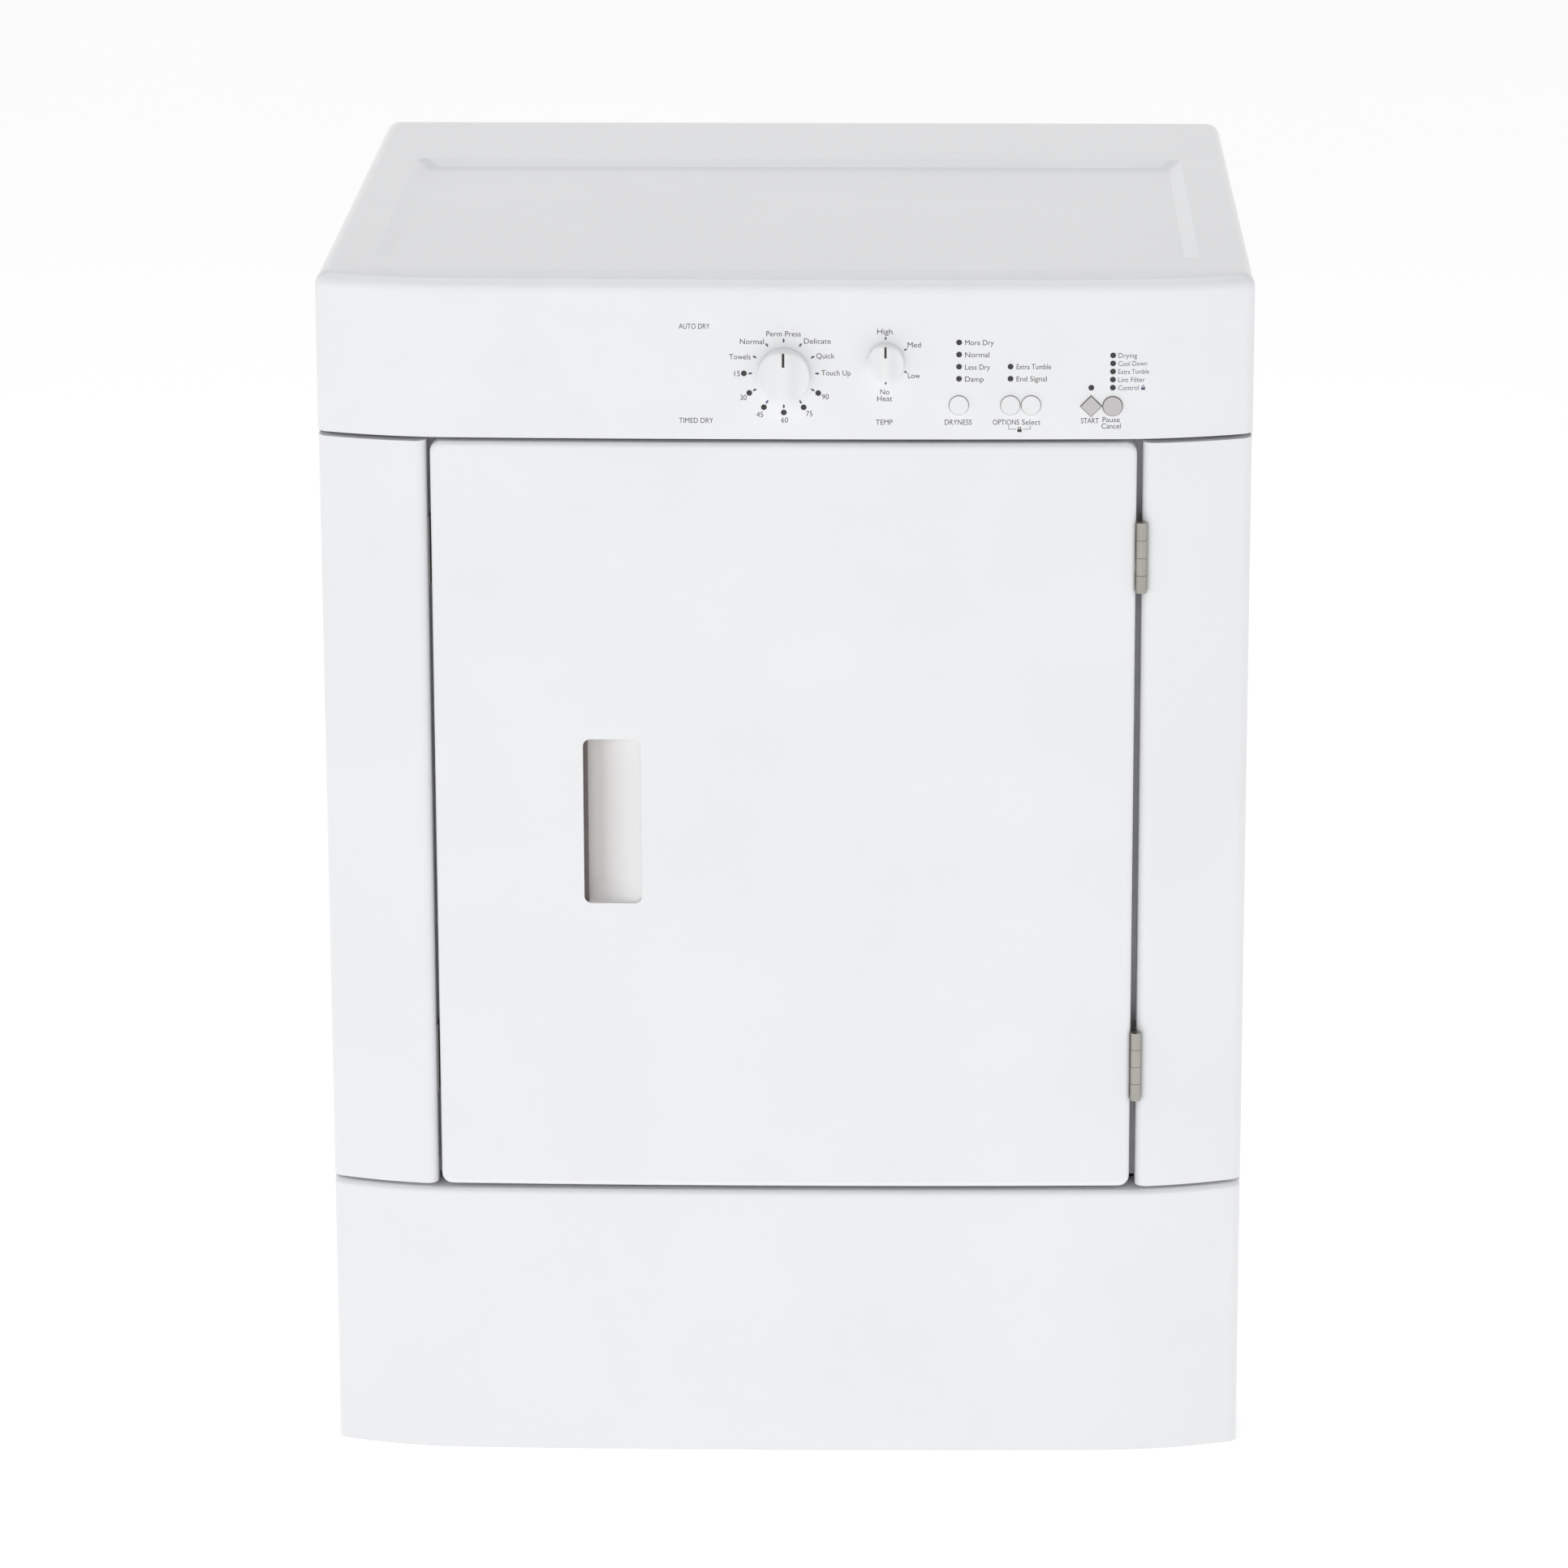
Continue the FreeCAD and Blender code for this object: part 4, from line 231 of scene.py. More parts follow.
def make_materials(colours):
    """Every finish on the machine, by the name of the slot that it fills."""
    body, console, grey = colours.body[1:], colours.console[1:], colours.buttons[1:]
    return {
        "white_enamel": powder_coated_steel("powder-coated steel", (body, "EDEEF0"), (0.26, 0.36)),
        "console_white": moulded_abs("painted ABS console", (console, "EEEFF1"), (0.3, 0.4)),
        # The cup's grey end is painted shade, darkest at its deep left side.
        "cup_white": handle_cup_abs_with_painted_shade("moulded ABS handle cup with painted shade", ("DBD7D5", "F0F0F0")),
        "inner_enamel": powder_coated_steel("porcelain enamel", ("EEEFEE", "E6E8E8"), (0.2, 0.3)),
        "drum_enamel": powder_coated_steel("baked drum enamel", ("E2E4E4", "D8DADB"), (0.3, 0.42)),
        "lifter_plastic": moulded_nylon("glass-filled polypropylene", ("DCDDDC", "CFD1D1")),
        "knob_white": moulded_abs("moulded ABS knob", ("F3F4F5", "ECEDEE"), (0.3, 0.4)),
        "button_grey": moulded_abs("moulded ABS grey", (grey, "C6C2C3"), (0.3, 0.42)),
        "lens_dark": smoked_acrylic("smoked acrylic", ("17161A", "0D0C10")),
        "galvanised": galvanised_steel("galvanised steel", ("B9BDBF", "9DA2A6")),
        "hinge_nickel": drawn_metal("nickel-plated steel", ("B4B2AB", "96948C"), (0.2, 0.36)),
        "shaft_steel": drawn_metal("ground steel", ("B6B8BA", "94979A"), (0.22, 0.4)),
        "element_alloy": drawn_metal("oxidised nickel-chrome wire", ("6B5F57", "4C4440"), (0.45, 0.65)),
        "plug_grey": moulded_nylon("moulded nylon grey", ("A9A6A3", "989592")),
        "foot_grey": moulded_nylon("glass-filled nylon", ("6F6E6D", "5C5B5A")),
        "board_green": grainy("solder mask", ("2E6B45", "24573A"), (0.3, 0.5), grain_mm=1.2,
                              depth_mm=0.03, cloud_mm=5, IOR=1.5),
        "switch_black": moulded_nylon("phenolic moulding", ("2A2928", "1D1C1C")),
        "felt_grey": pressed_felt("pressed wool felt", ("A8A39A", "827D75")),
        "gasket_white": moulded_rubber("silicone gasket", ("E6E5E1", "D3D2CD")),
        "bearing_nylon": moulded_nylon("moulded nylon", ("E3DFD2", "D3CEBF")),
        "duct_grey": moulded_nylon("moulded polypropylene", ("8E9193", "7B7E81")),
        "filter_plastic": moulded_nylon("moulded polypropylene frame", ("D5D8DA", "C6C9CC")),
        "filter_mesh": woven_screen("woven polyester screen", ("F0F1F2", "8F9498")),
        "motor_black": powder_coated_steel("black enamelled steel", ("2B2B2D", "202022"), (0.35, 0.5)),
        "pulley_alloy": drawn_metal("die-cast zinc", ("A9ACAF", "8C8F93"), (0.35, 0.55), (1, 1, 1)),
        "belt_rubber": moulded_rubber("ribbed neoprene", ("2C2B2A", "1E1D1D")),
        "dark_ink": screen_ink("charcoal screen ink", ("3B3735", "322E2D")),
        "blue_ink": screen_ink("blue-grey screen ink", ("4B5C76", "44556E")),
        # Painted shade: the grey ring round the start and pause buttons stands for the shadow in their gaps.
        "dark_grey_shade_ring": screen_ink("grey screen ink", ("8A8686", "7D7979")),
        # Painted shade: a dark strip standing for the shadow in the undercut under the handle's lip.
        "painted_shade_strip": moulded_rubber("dark strip of painted shade", ("6E6460", "5A514E")),
        # Painted shade: the pale grey ring round the white buttons stands for the shadow in their gaps.
        "grey_shade_ring": screen_ink("pale grey painted shade ring", ("A9A6A6", "9D9A9A")),
    }


# ---------------------------------------------------------------- mesh helpers


def place_piece(name, mesh, material, body):
    """Put a mesh in the scene, give it its finish and let it ride on its body."""
    piece = bpy.data.objects.new(name, mesh)
    bpy.context.collection.objects.link(piece)
    mesh.materials.clear()
    mesh.materials.append(material)
    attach(piece, body)
    return piece


def fascia_tree():
    """The console fascia's surface, to lay printing on."""
    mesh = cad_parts["console_fascia"].data
    return BVHTree.FromPolygons([vertex.co for vertex in mesh.vertices],
                                [tuple(face.vertices) for face in mesh.polygons])


def fascia_level(tree, x, z):
    """How far back the front of the fascia is at a place."""
    hit = tree.ray_cast(Vector((x, -1.0, z)), Vector((0.0, 1.0, 0.0)))[0]
    if hit is None:
        raise RuntimeError("the printing runs off the fascia")
    return hit.y


def prism(outlines, thickness):
    """A flat mesh of several closed outlines in X and Z, thick along Y from 0 back to thickness."""
    work = bmesh.new()
    for outline in outlines:
        face = work.faces.new([work.verts.new((x, 0.0, z)) for x, z in outline])
        pushed = bmesh.ops.extrude_face_region(work, geom=[face])["geom"]
        bmesh.ops.translate(work, vec=(0.0, thickness, 0.0),
                            verts=[item for item in pushed if isinstance(item, bmesh.types.BMVert)])
    bmesh.ops.recalc_face_normals(work, faces=work.faces)
    mesh = bpy.data.meshes.new("outline")
    work.to_mesh(mesh)
    work.free()
    return mesh


def ring_outline(x, z, radius, sides=32):
    """Points round a circle."""
    return [(x + radius * math.cos(math.tau * step / sides), z + radius * math.sin(math.tau * step / sides))
            for step in range(sides)]


def bar_outline(first, last, width):
    """A straight bar between two points."""
    run = Vector(last) - Vector(first)
    side = Vector((-run.y, run.x)).normalized() * width / 2
    return [tuple(Vector(first) + side), tuple(Vector(first) - side),
            tuple(Vector(last) - side), tuple(Vector(last) + side)]


def lens_outline(x, z, length, width, angle, sides=8):
    """A pointed oval with its long axis at an angle."""
    half, rise = length / 2, width / 2
    radius = (half * half + rise * rise) / (2 * rise)
    sweep = math.asin(half / radius)
    points = []
    for side in (1, -1):
        for step in range(sides):
            turn = sweep * (2 * step / sides - 1)
            along, across = radius * math.sin(turn), radius * math.cos(turn) - (radius - rise)
            points.append((side * along, side * across))
    cosine, sine = math.cos(angle), math.sin(angle)
    return [(x + a * cosine - b * sine, z + a * sine + b * cosine) for a, b in points]


def lettering(words, x, z, height, width, align):
    """Sheet lettering as a mesh in X and Z: cap height and overall width are in metres."""
    curve = bpy.data.curves.new("lettering", "FONT")
    curve.body = words
    curve.extrude = 0.5
    curve.resolution_u = 4
    source = bpy.data.objects.new("lettering", curve)
    bpy.context.collection.objects.link(source)
    bpy.context.view_layer.update()
    mesh = bpy.data.meshes.new_from_object(source.evaluated_get(bpy.context.evaluated_depsgraph_get()))
    bpy.data.objects.remove(source)
    bpy.data.curves.remove(curve)
    low = min(vertex.co.x for vertex in mesh.vertices)
    high = max(vertex.co.x for vertex in mesh.vertices)
    stretch = width / (high - low)
    shift = {"LEFT": 0.0, "CENTER": 0.5, "RIGHT": 1.0}[align] * width
    for vertex in mesh.vertices:
        across, up, deep = vertex.co
        vertex.co = (x + (across - low) * stretch - shift, -deep * INK, z + (up / CAPITAL - 0.5) * height)
    return mesh


def joined(name, meshes):
    """One mesh out of many."""
    work = bmesh.new()
    for mesh in meshes:
        work.from_mesh(mesh)
        bpy.data.meshes.remove(mesh)
    whole = bpy.data.meshes.new(name)
    work.to_mesh(whole)
    work.free()
    return whole


def lay_on_fascia(mesh, tree):
    """Move a flat mesh, whose Y is 0 at its middle, so that its back half sinks into the fascia."""
    for vertex in mesh.vertices:
        x, y, z = vertex.co
        vertex.co.y = fascia_level(tree, x, z) + y
    return mesh


# ---------------------------------------------------------------- sizes and colours


class DryerColours(bpy.types.PropertyGroup):
    """Finishes that a user may change, as sRGB hex."""
    body: StringProperty(name="Body", description="Powder coat on the panels", default="#F4F5F7")
    console: StringProperty(name="Console", description="Paint on the console", default="#F5F6F8")
    buttons: StringProperty(name="Buttons", description="Start and pause buttons", default="#CBC7C8")
    floor: StringProperty(name="Floor", description="The studio floor", default="#F3F3F3")


class DryerSizes(bpy.types.PropertyGroup):
    """Places and sizes on the console and of the stage."""
    cycle_x: FloatProperty(name="Cycle knob across", description="Its axis, from the centre line",
                           default=0.0, unit="LENGTH")
    cycle_z: FloatProperty(name="Cycle knob up", description="Its axis, from the floor",
                           default=0.845, unit="LENGTH")
    cycle_radius: FloatProperty(name="Cycle knob radius", description="Outside radius", default=0.019,
                                unit="LENGTH")
    warm_x: FloatProperty(name="Temperature knob across", description="Its axis, from the centre line",
                          default=0.0742, unit="LENGTH")
    warm_z: FloatProperty(name="Temperature knob up", description="Its axis, from the floor",
                          default=0.8546, unit="LENGTH")
    warm_radius: FloatProperty(name="Temperature knob radius", description="Outside radius",
                               default=0.01325, unit="LENGTH")
    capital: FloatProperty(name="Cap height", description="Height of the printed capitals", default=0.0041,
                           unit="LENGTH")
    stage_width: FloatProperty(name="Stage width", description="Width of the floor", default=44.0,
                               unit="LENGTH")
    key_power: FloatProperty(name="Key light", description="Power of the large front light", default=20.0,
                             unit="POWER")


# ---------------------------------------------------------------- finishes


class DRYER_OT_finishes(bpy.types.Operator):
    """Give every part of the machine the finish of its slot"""
    bl_idname = "dryer.finishes"
    bl_label = "Finishes"

    def execute(self, context):
        made = make_materials(context.scene.dryer_colours)
        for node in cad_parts.values():
            for socket in node.material_slots:
                socket.material = made[socket.material.name.split(".")[0]]
        return {"FINISHED"}


def finish(name):
    """A finish made earlier, by its slot's name or its own."""
    titles = {"knob_white": "moulded ABS knob", "cup_white": "moulded ABS handle cup with painted shade",
              "dark_ink": "charcoal screen ink", "blue_ink": "blue-grey screen ink",
              "grey_shade_ring": "pale grey painted shade ring", "dark_grey_shade_ring": "grey screen ink",
              "painted_shade_strip": "dark strip of painted shade"}
    return bpy.data.materials[titles[name]]


# ---------------------------------------------------------------- knobs


def knob_height(across, along, radius, grip, deep):
    """Depth of the knob's face below its top: a ridge down the middle with a valley on each side."""
    rise_at_rim, drop_at_ends = 0.3, 0.12  # shares of the valley's depth
    aside = abs(across) / radius
    ease = min(max((aside - grip) / (VALLEY - grip), 0.0), 1.0)
    fall = ease * ease * (3 - 2 * ease)
    climb = min(max((aside - VALLEY) / (1 - VALLEY), 0.0), 1.0)
    reach = abs(along) / radius
    return deep * fall - rise_at_rim * deep * climb * climb + drop_at_ends * deep * reach ** 4


def knob_mesh(name, radius, base, top, grip, deep):
    """A turned knob body from base to top along Y, with a sculpted face, centred on X and Z."""
    rings, rim_rings, sides, skirt = 22, 5, 96, 0.5 * MM
    work = bmesh.new()
    loops = []
    for level in (base, base - skirt):
        loops.append([work.verts.new((radius * math.cos(math.tau * step / sides), level,
                                      radius * math.sin(math.tau * step / sides)))
                      for step in range(sides)])
    for ring in range(rings):
        turn = min(ring / rim_rings, 1.0) * math.pi / 2
        inner = radius - LIP * (1 - math.cos(turn))
        if ring > rim_rings:
            inner = (radius - LIP) * (1 - (ring - rim_rings) / (rings - rim_rings))
        rounding = LIP * (1 - math.sin(turn))
        loop = []
        for step in range(sides):
            angle = math.tau * step / sides
            x, z = inner * math.cos(angle), inner * math.sin(angle)
            loop.append(work.verts.new((x, top + rounding + knob_height(x, z, radius, grip, deep), z)))
        loops.append(loop)
    for outer, inner in zip(loops, loops[1:]):
        for step in range(sides):
            after = (step + 1) % sides
            work.faces.new((outer[step], outer[after], inner[after], inner[step]))
    centre = work.verts.new((0.0, top, 0.0))
    for step in range(sides):
        work.faces.new((loops[-1][step], loops[-1][(step + 1) % sides], centre))
    work.faces.new(loops[0][::-1])
    bmesh.ops.recalc_face_normals(work, faces=work.faces)
    for face in work.faces:
        face.smooth = len(face.verts) < 5
    mesh = bpy.data.meshes.new(name)
    work.to_mesh(mesh)
    work.free()
    return mesh


def add_knob(name, node, body, place, radius, top, grip, deep, line):
    """One knob, just clear of the fascia, with the painted line on its ridge."""
    clearance, paint, cuts = 0.3 * MM, 0.1 * MM, 12
    x, z = place
    base = fascia_level(fascia_tree(), x, z - 0.8 * radius) - clearance
    mesh = knob_mesh(name, radius, base, top, grip, deep)
    mesh.transform(Matrix.Translation((x, 0.0, z)))
    knob = place_piece(name, mesh, finish("knob_white"), body)
    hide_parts(node)
    start, end, width = line
    stripe = prism([bar_outline((0.0, start), (0.0, end), width)], paint)
    work = bmesh.new()
    work.from_mesh(stripe)
    long_edges = [edge for edge in work.edges if abs(edge.verts[0].co.z - edge.verts[1].co.z) > width]
    bmesh.ops.subdivide_edges(work, edges=long_edges, cuts=cuts, use_grid_fill=True)
    for vertex in work.verts:
        sunk = knob_height(vertex.co.x, vertex.co.z, radius, grip, deep)
        past = max(abs(vertex.co.z) - (radius - LIP), 0.0)
        vertex.co.y += top + sunk + past * past / (2 * LIP) - paint / 2
    work.to_mesh(stripe)
    work.free()
    stripe.transform(Matrix.Translation((x, 0.0, z)))
    place_piece(name + "_line", stripe, finish("dark_ink"), body)


class DRYER_OT_knobs(bpy.types.Operator):
    """Sculpt the cycle knob and the temperature knob, each with its painted line"""
    bl_idname = "dryer.knobs"
    bl_label = "Knobs"

    def execute(self, context):
        sizes = context.scene.dryer_sizes
        cycle_top, warm_top, grip = -362 * MM, -357 * MM, 0.1
        add_knob("cycle_knob_grip", "cycle_knob", "cycle_dial", (sizes.cycle_x, sizes.cycle_z),
                 sizes.cycle_radius, cycle_top, grip, deep=7 * MM, line=(18.4 * MM, 8.2 * MM, 1.9 * MM))
        add_knob("temperature_knob_grip", "temperature_knob", "temperature_dial",
                 (sizes.warm_x, sizes.warm_z), sizes.warm_radius, warm_top, grip,
                 deep=5 * MM, line=(12.7 * MM, 4.6 * MM, 1.7 * MM))
        return {"FINISHED"}


# ---------------------------------------------------------------- printing


CAPTIONS = [  # words, X, Z, width, in millimetres, alignment, ink
    ("15", -33.9, 845.0, 4.1, "CENTER", "dark"), ("30", -29.4, 827.2, 4.6, "CENTER", "dark"),
    ("45", -17.5, 814.6, 4.9, "CENTER", "dark"), ("60", 0.6, 810.5, 4.9, "CENTER", "dark"),
    ("75", 18.6, 815.3, 4.7, "CENTER", "dark"), ("90", 30.3, 827.9, 4.9, "CENTER", "dark"),
    ("Towels", -31.9, 857.5, 15.6, "CENTER", "dark"), ("Normal", -23.1, 868.8, 17.4, "CENTER", "dark"),
    ("Perm Press", 0.0, 874.6, 25.0, "CENTER", "dark"), ("Delicate", 24.6, 869.2, 19.5, "CENTER", "dark"),
    ("Quick", 30.4, 858.3, 13.4, "CENTER", "dark"), ("Touch Up", 38.1, 845.7, 21.3, "CENTER", "dark"),
    ("AUTO DRY", -65.0, 880.0, 22.5, "CENTER", "dark"), ("TIMED DRY", -64.0, 810.0, 25.0, "CENTER", "dark"),
    ("TEMP", 73.2, 809.0, 12.2, "CENTER", "dark"), ("High", 73.6, 876.4, 11.0, "CENTER", "dark"),
    ("Med", 95.0, 866.5, 9.6, "CENTER", "dark"), ("Low", 94.8, 843.7, 8.8, "CENTER", "dark"),
    ("No", 73.6, 831.6, 6.6, "CENTER", "dark"), ("Heat", 73.6, 826.6, 11.0, "CENTER", "dark"),
    ("More Dry", 132.0, 868.2, 20.8, "LEFT", "dark"), ("Normal", 132.0, 859.2, 17.6, "LEFT", "dark"),
    ("Less Dry", 132.0, 850.0, 18.2, "LEFT", "dark"), ("Damp", 132.0, 841.1, 13.6, "LEFT", "dark"),
    ("Extra Tumble", 169.5, 850.3, 25.0, "LEFT", "dark"), ("End Signal", 169.5, 841.3, 22.0, "LEFT", "dark"),
    ("DRYNESS", 127.2, 809.0, 19.8, "CENTER", "dark"), ("OPTIONS", 162.0, 809.0, 19.2, "CENTER", "dark"),
    ("Select", 180.4, 809.0, 13.5, "CENTER", "dark"), ("START", 223.2, 810.0, 13.0, "CENTER", "dark"),
    ("Pause", 238.7, 810.7, 12.6, "CENTER", "dark"), ("Cancel", 238.7, 806.0, 14.0, "CENTER", "dark"),
    ("Drying", 243.6, 858.4, 13.6, "LEFT", "blue"), ("Cool Down", 243.6, 852.4, 20.8, "LEFT", "blue"),
    ("Extra Tumble", 243.6, 846.4, 22.4, "LEFT", "blue"),
    ("Lint Filter", 243.6, 840.4, 19.5, "LEFT", "blue"), ("Control", 243.6, 834.4, 15.0, "LEFT", "blue"),
]


def padlock(x, z, height):
    """A small closed padlock: a body with a shackle over it."""
    sides = 10
    half, waist = height * 0.36, z - height * 0.02
    foot, crown = z - height / 2, waist + height * 0.16
    body = [(x - half, foot), (x + half, foot), (x + half, waist), (x - half, waist)]
    outer, inner = half * 0.72, half * 0.36
    arc = [(math.cos(math.pi * step / sides), math.sin(math.pi * step / sides))
           for step in range(sides + 1)]
    shackle = [(x + outer, waist)] + [(x + outer * c, crown + outer * s) for c, s in arc]
    shackle += [(x - outer, waist), (x - inner, waist)]
    shackle += [(x + inner * c, crown + inner * s) for c, s in reversed(arc)] + [(x + inner, waist)]
    return [body, shackle]


def words_in(ink, sizes):
    """Every caption in one ink, as flat meshes."""
    small = 0.92 if ink == "blue" else 1.0
    return [lettering(words, x * MM, z * MM, sizes.capital * small, width * MM, align)
            for words, x, z, width, align, colour in CAPTIONS if colour == ink]


def band(inner, outer):
    """A closed band between two outlines with the same number of points, thick along Y."""
    work = bmesh.new()
    rows = [[work.verts.new((x, level, z)) for x, z in outline]
            for outline, level in ((outer, 0.0), (inner, 0.0), (inner, 2 * INK), (outer, 2 * INK))]
    for first, last in zip(rows, rows[1:] + rows[:1]):
        for step in range(len(first)):
            after = (step + 1) % len(first)
            work.faces.new((first[step], first[after], last[after], last[step]))
    bmesh.ops.recalc_face_normals(work, faces=work.faces)
    mesh = bpy.data.meshes.new("band")
    work.to_mesh(mesh)
    work.free()
    return mesh


def round_band(node, wide):
    """A band just outside a round button."""
    low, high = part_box(node)
    x, z = (low.x + high.x) / 2, (low.z + high.z) / 2
    radius, sides = 7.12 * MM, 64
    return band(ring_outline(x, z, radius, sides), ring_outline(x, z, radius + wide, sides))


def diamond_band(node, wide):
    """A band just outside the diamond button, whose flange is hidden behind the fascia."""
    low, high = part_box(node)
    x, z = (low.x + high.x) / 2, (low.z + high.z) / 2
    half, corner = 7.62 * MM, 1.4  # a band is wider across its corners than across its sides
    return band(ring_outline(x, z, half, 4), ring_outline(x, z, half + corner * wide, 4))


class DRYER_OT_button_rims(bpy.types.Operator):
    """Draw the fine grey lines round the five buttons: painted shade standing for the shadow in the gaps
    round them
    """
    bl_idname = "dryer.button_rims"
    bl_label = "Button rims"

    def execute(self, context):
        tree = fascia_tree()
        fine, bold = 0.34 * MM, 0.5 * MM
        # These bands are painted shade: grey rings standing for the shadow in the gaps round the buttons.
        rims = {
            "white_button_shade_rims": ([round_band(node, fine) for node in
                                   ("dryness_button", "options_button", "select_button")], "grey_shade_ring"),
            "grey_button_shade_rims": ([round_band("pause_button", bold), diamond_band("start_button", bold)],
                                 "dark_grey_shade_ring"),
        }
        for name, (meshes, ink) in rims.items():
            mesh = joined(name, meshes)
            mesh.transform(Matrix.Translation((0.0, -INK, 0.0)))
            place_piece(name, lay_on_fascia(mesh, tree), finish(ink), "cabinet")
        return {"FINISHED"}


class DRYER_OT_handle_slot(bpy.types.Operator):
    """Fit a dark strip under the left lip of the handle opening: painted shade standing for the shadow in
    the undercut there
    """
    bl_idname = "dryer.handle_slot"
    bl_label = "Handle slot"

    def execute(self, context):
        left, right, low, high = -150.6 * MM, -146.0 * MM, 442.6 * MM, 567.2 * MM
        corner_radius, thickness, front = 2.4 * MM, 0.7 * MM, -339.7 * MM
        corner = [(left + corner_radius * (1 - math.cos(math.radians(angle))), math.radians(angle))
                  for angle in range(0, 91, 15)]
        upper = [(x, high - corner_radius * (1 - math.sin(angle))) for x, angle in corner]
        lower = [(x, low + corner_radius * (1 - math.sin(angle))) for x, angle in reversed(corner)]
        outline = upper + [(right, high), (right, low)] + lower
        # This dark strip is painted shade for the shadowed undercut behind the lip.
        mesh = prism([outline], thickness)
        mesh.transform(Matrix.Translation((0.0, front, 0.0)))
        place_piece("handle_painted_shade_strip", mesh, finish("painted_shade_strip"), "door")
        return {"FINISHED"}


def scoop_mesh(tree, left, right, low, rise, front):
    """The rounded foot of the handle cup: a closed strip that sweeps from the cup's back to its lip,
    with its back and its foot sunk into the cup."""
    columns, rows, sunk, above = 24, 12, 0.3 * MM, 6 * MM
    work = bmesh.new()
    grid = []
    for column in range(columns + 1):
        x = left + (right - left) * column / columns
        hit = tree.ray_cast(Vector((x, -1.0, low + rise + above)), Vector((0.0, 1.0, 0.0)))[0]
        if hit is None:
            raise RuntimeError("the scoop is wider than the handle cup")
        back = max(hit.y, front) + sunk
        line = []
        for row in range(rows + 1):
            turn = math.pi / 2 * row / rows
            line.append(work.verts.new((x, back - (back - front) * (1 - math.cos(turn)),
                                        low + rise * (1 - math.sin(turn)))))
        line.append(work.verts.new((x, front, low - sunk)))
        line.append(work.verts.new((x, back + sunk, low - sunk)))
        line.append(work.verts.new((x, back + sunk, low + rise)))
        grid.append(line)
    for first, last in zip(grid, grid[1:]):
        for row in range(len(first)):
            after = (row + 1) % len(first)
            face = work.faces.new((first[row], last[row], last[after], first[after]))
            face.smooth = row < rows
    work.faces.new(grid[0])
    work.faces.new(grid[-1][::-1])
    bmesh.ops.recalc_face_normals(work, faces=work.faces)
    mesh = bpy.data.meshes.new("scoop")
    work.to_mesh(mesh)
    work.free()
    return mesh


class DRYER_OT_handle_scoop(bpy.types.Operator):
    """Round the foot of the handle cup, so that it sweeps forward to the lip"""
    bl_idname = "dryer.handle_scoop"
    bl_label = "Handle scoop"

    def execute(self, context):
        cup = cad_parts["handle_cup"].data
        tree = BVHTree.FromPolygons([vertex.co for vertex in cup.vertices],
                                    [tuple(face.vertices) for face in cup.polygons])
        mesh = scoop_mesh(tree, left=-149.3 * MM, right=-107.2 * MM, low=442.2 * MM, rise=19 * MM,
                          front=-340.6 * MM)
        # The scoop takes the cup's finish, painted shade across X included.
        place_piece("handle_cup_scoop", mesh, finish("cup_white"), "door")
        return {"FINISHED"}


class DRYER_OT_printing(bpy.types.Operator):
    """Print the words, ticks and small signs on the console"""
    bl_idname = "dryer.printing"
    bl_label = "Printing"

    def execute(self, context):
        sizes = context.scene.dryer_sizes
        tree = fascia_tree()
        ticks = []
        cycles = 12
        for step in range(cycles):
            angle = math.tau * step / cycles
            ticks.append(lens_outline(sizes.cycle_x + ROSE * math.cos(angle),
                                      sizes.cycle_z + ROSE * math.sin(angle), 3.3 * MM, 1.5 * MM, angle))
        reach = sizes.warm_radius + 3.4 * MM
        for turn in (90, 30, -30, -90):
            angle = math.radians(turn)
            ticks.append(lens_outline(sizes.warm_x + reach * math.cos(angle),
                                      sizes.warm_z + reach * math.sin(angle), 2.8 * MM, 1.3 * MM, angle))
        signs = padlock(171.9 * MM, 803.7 * MM, 4.4 * MM)
        left, right, low, top = 164.0 * MM, 179.7 * MM, 803.6 * MM, 806.4 * MM
        foot, thin = 5.2 * MM, 0.35 * MM
        signs += [bar_outline((left, top), (left, low), thin), bar_outline((right, top), (right, low), thin),
                  bar_outline((left, low), (left + foot, low), thin),
                  bar_outline((right - foot, low), (right, low), thin)]
        blue_signs = padlock(261.8 * MM, 834.5 * MM, 4.0 * MM)
        prints = {
            "console_ticks": ([prism(ticks, 2 * INK)], "blue_ink", INK),
            "console_words": (words_in("dark", sizes), "dark_ink", 0.0),
            "console_signs": ([prism(signs, 2 * INK)], "dark_ink", INK),
            "status_words": (words_in("blue", sizes), "blue_ink", 0.0),
            "status_signs": ([prism(blue_signs, 2 * INK)], "blue_ink", INK),
        }
        for name, (meshes, ink, forward) in prints.items():
            mesh = joined(name, meshes)
            mesh.transform(Matrix.Translation((0.0, -forward, 0.0)))
            place_piece(name, lay_on_fascia(mesh, tree), finish(ink), "cabinet")
        return {"FINISHED"}


# ---------------------------------------------------------------- stage


def area_light(name, place, aim, size, power):
    """A large soft light aimed at a point."""
    data = bpy.data.lights.new(name, "AREA")
    data.shape, data.size, data.size_y, data.energy = "RECTANGLE", size[0], size[1], power
    lamp = bpy.data.objects.new(name, data)
    lamp.location = place
    lamp.rotation_euler = (Vector(aim) - Vector(place)).to_track_quat("-Z", "Y").to_euler()
    bpy.context.collection.objects.link(lamp)


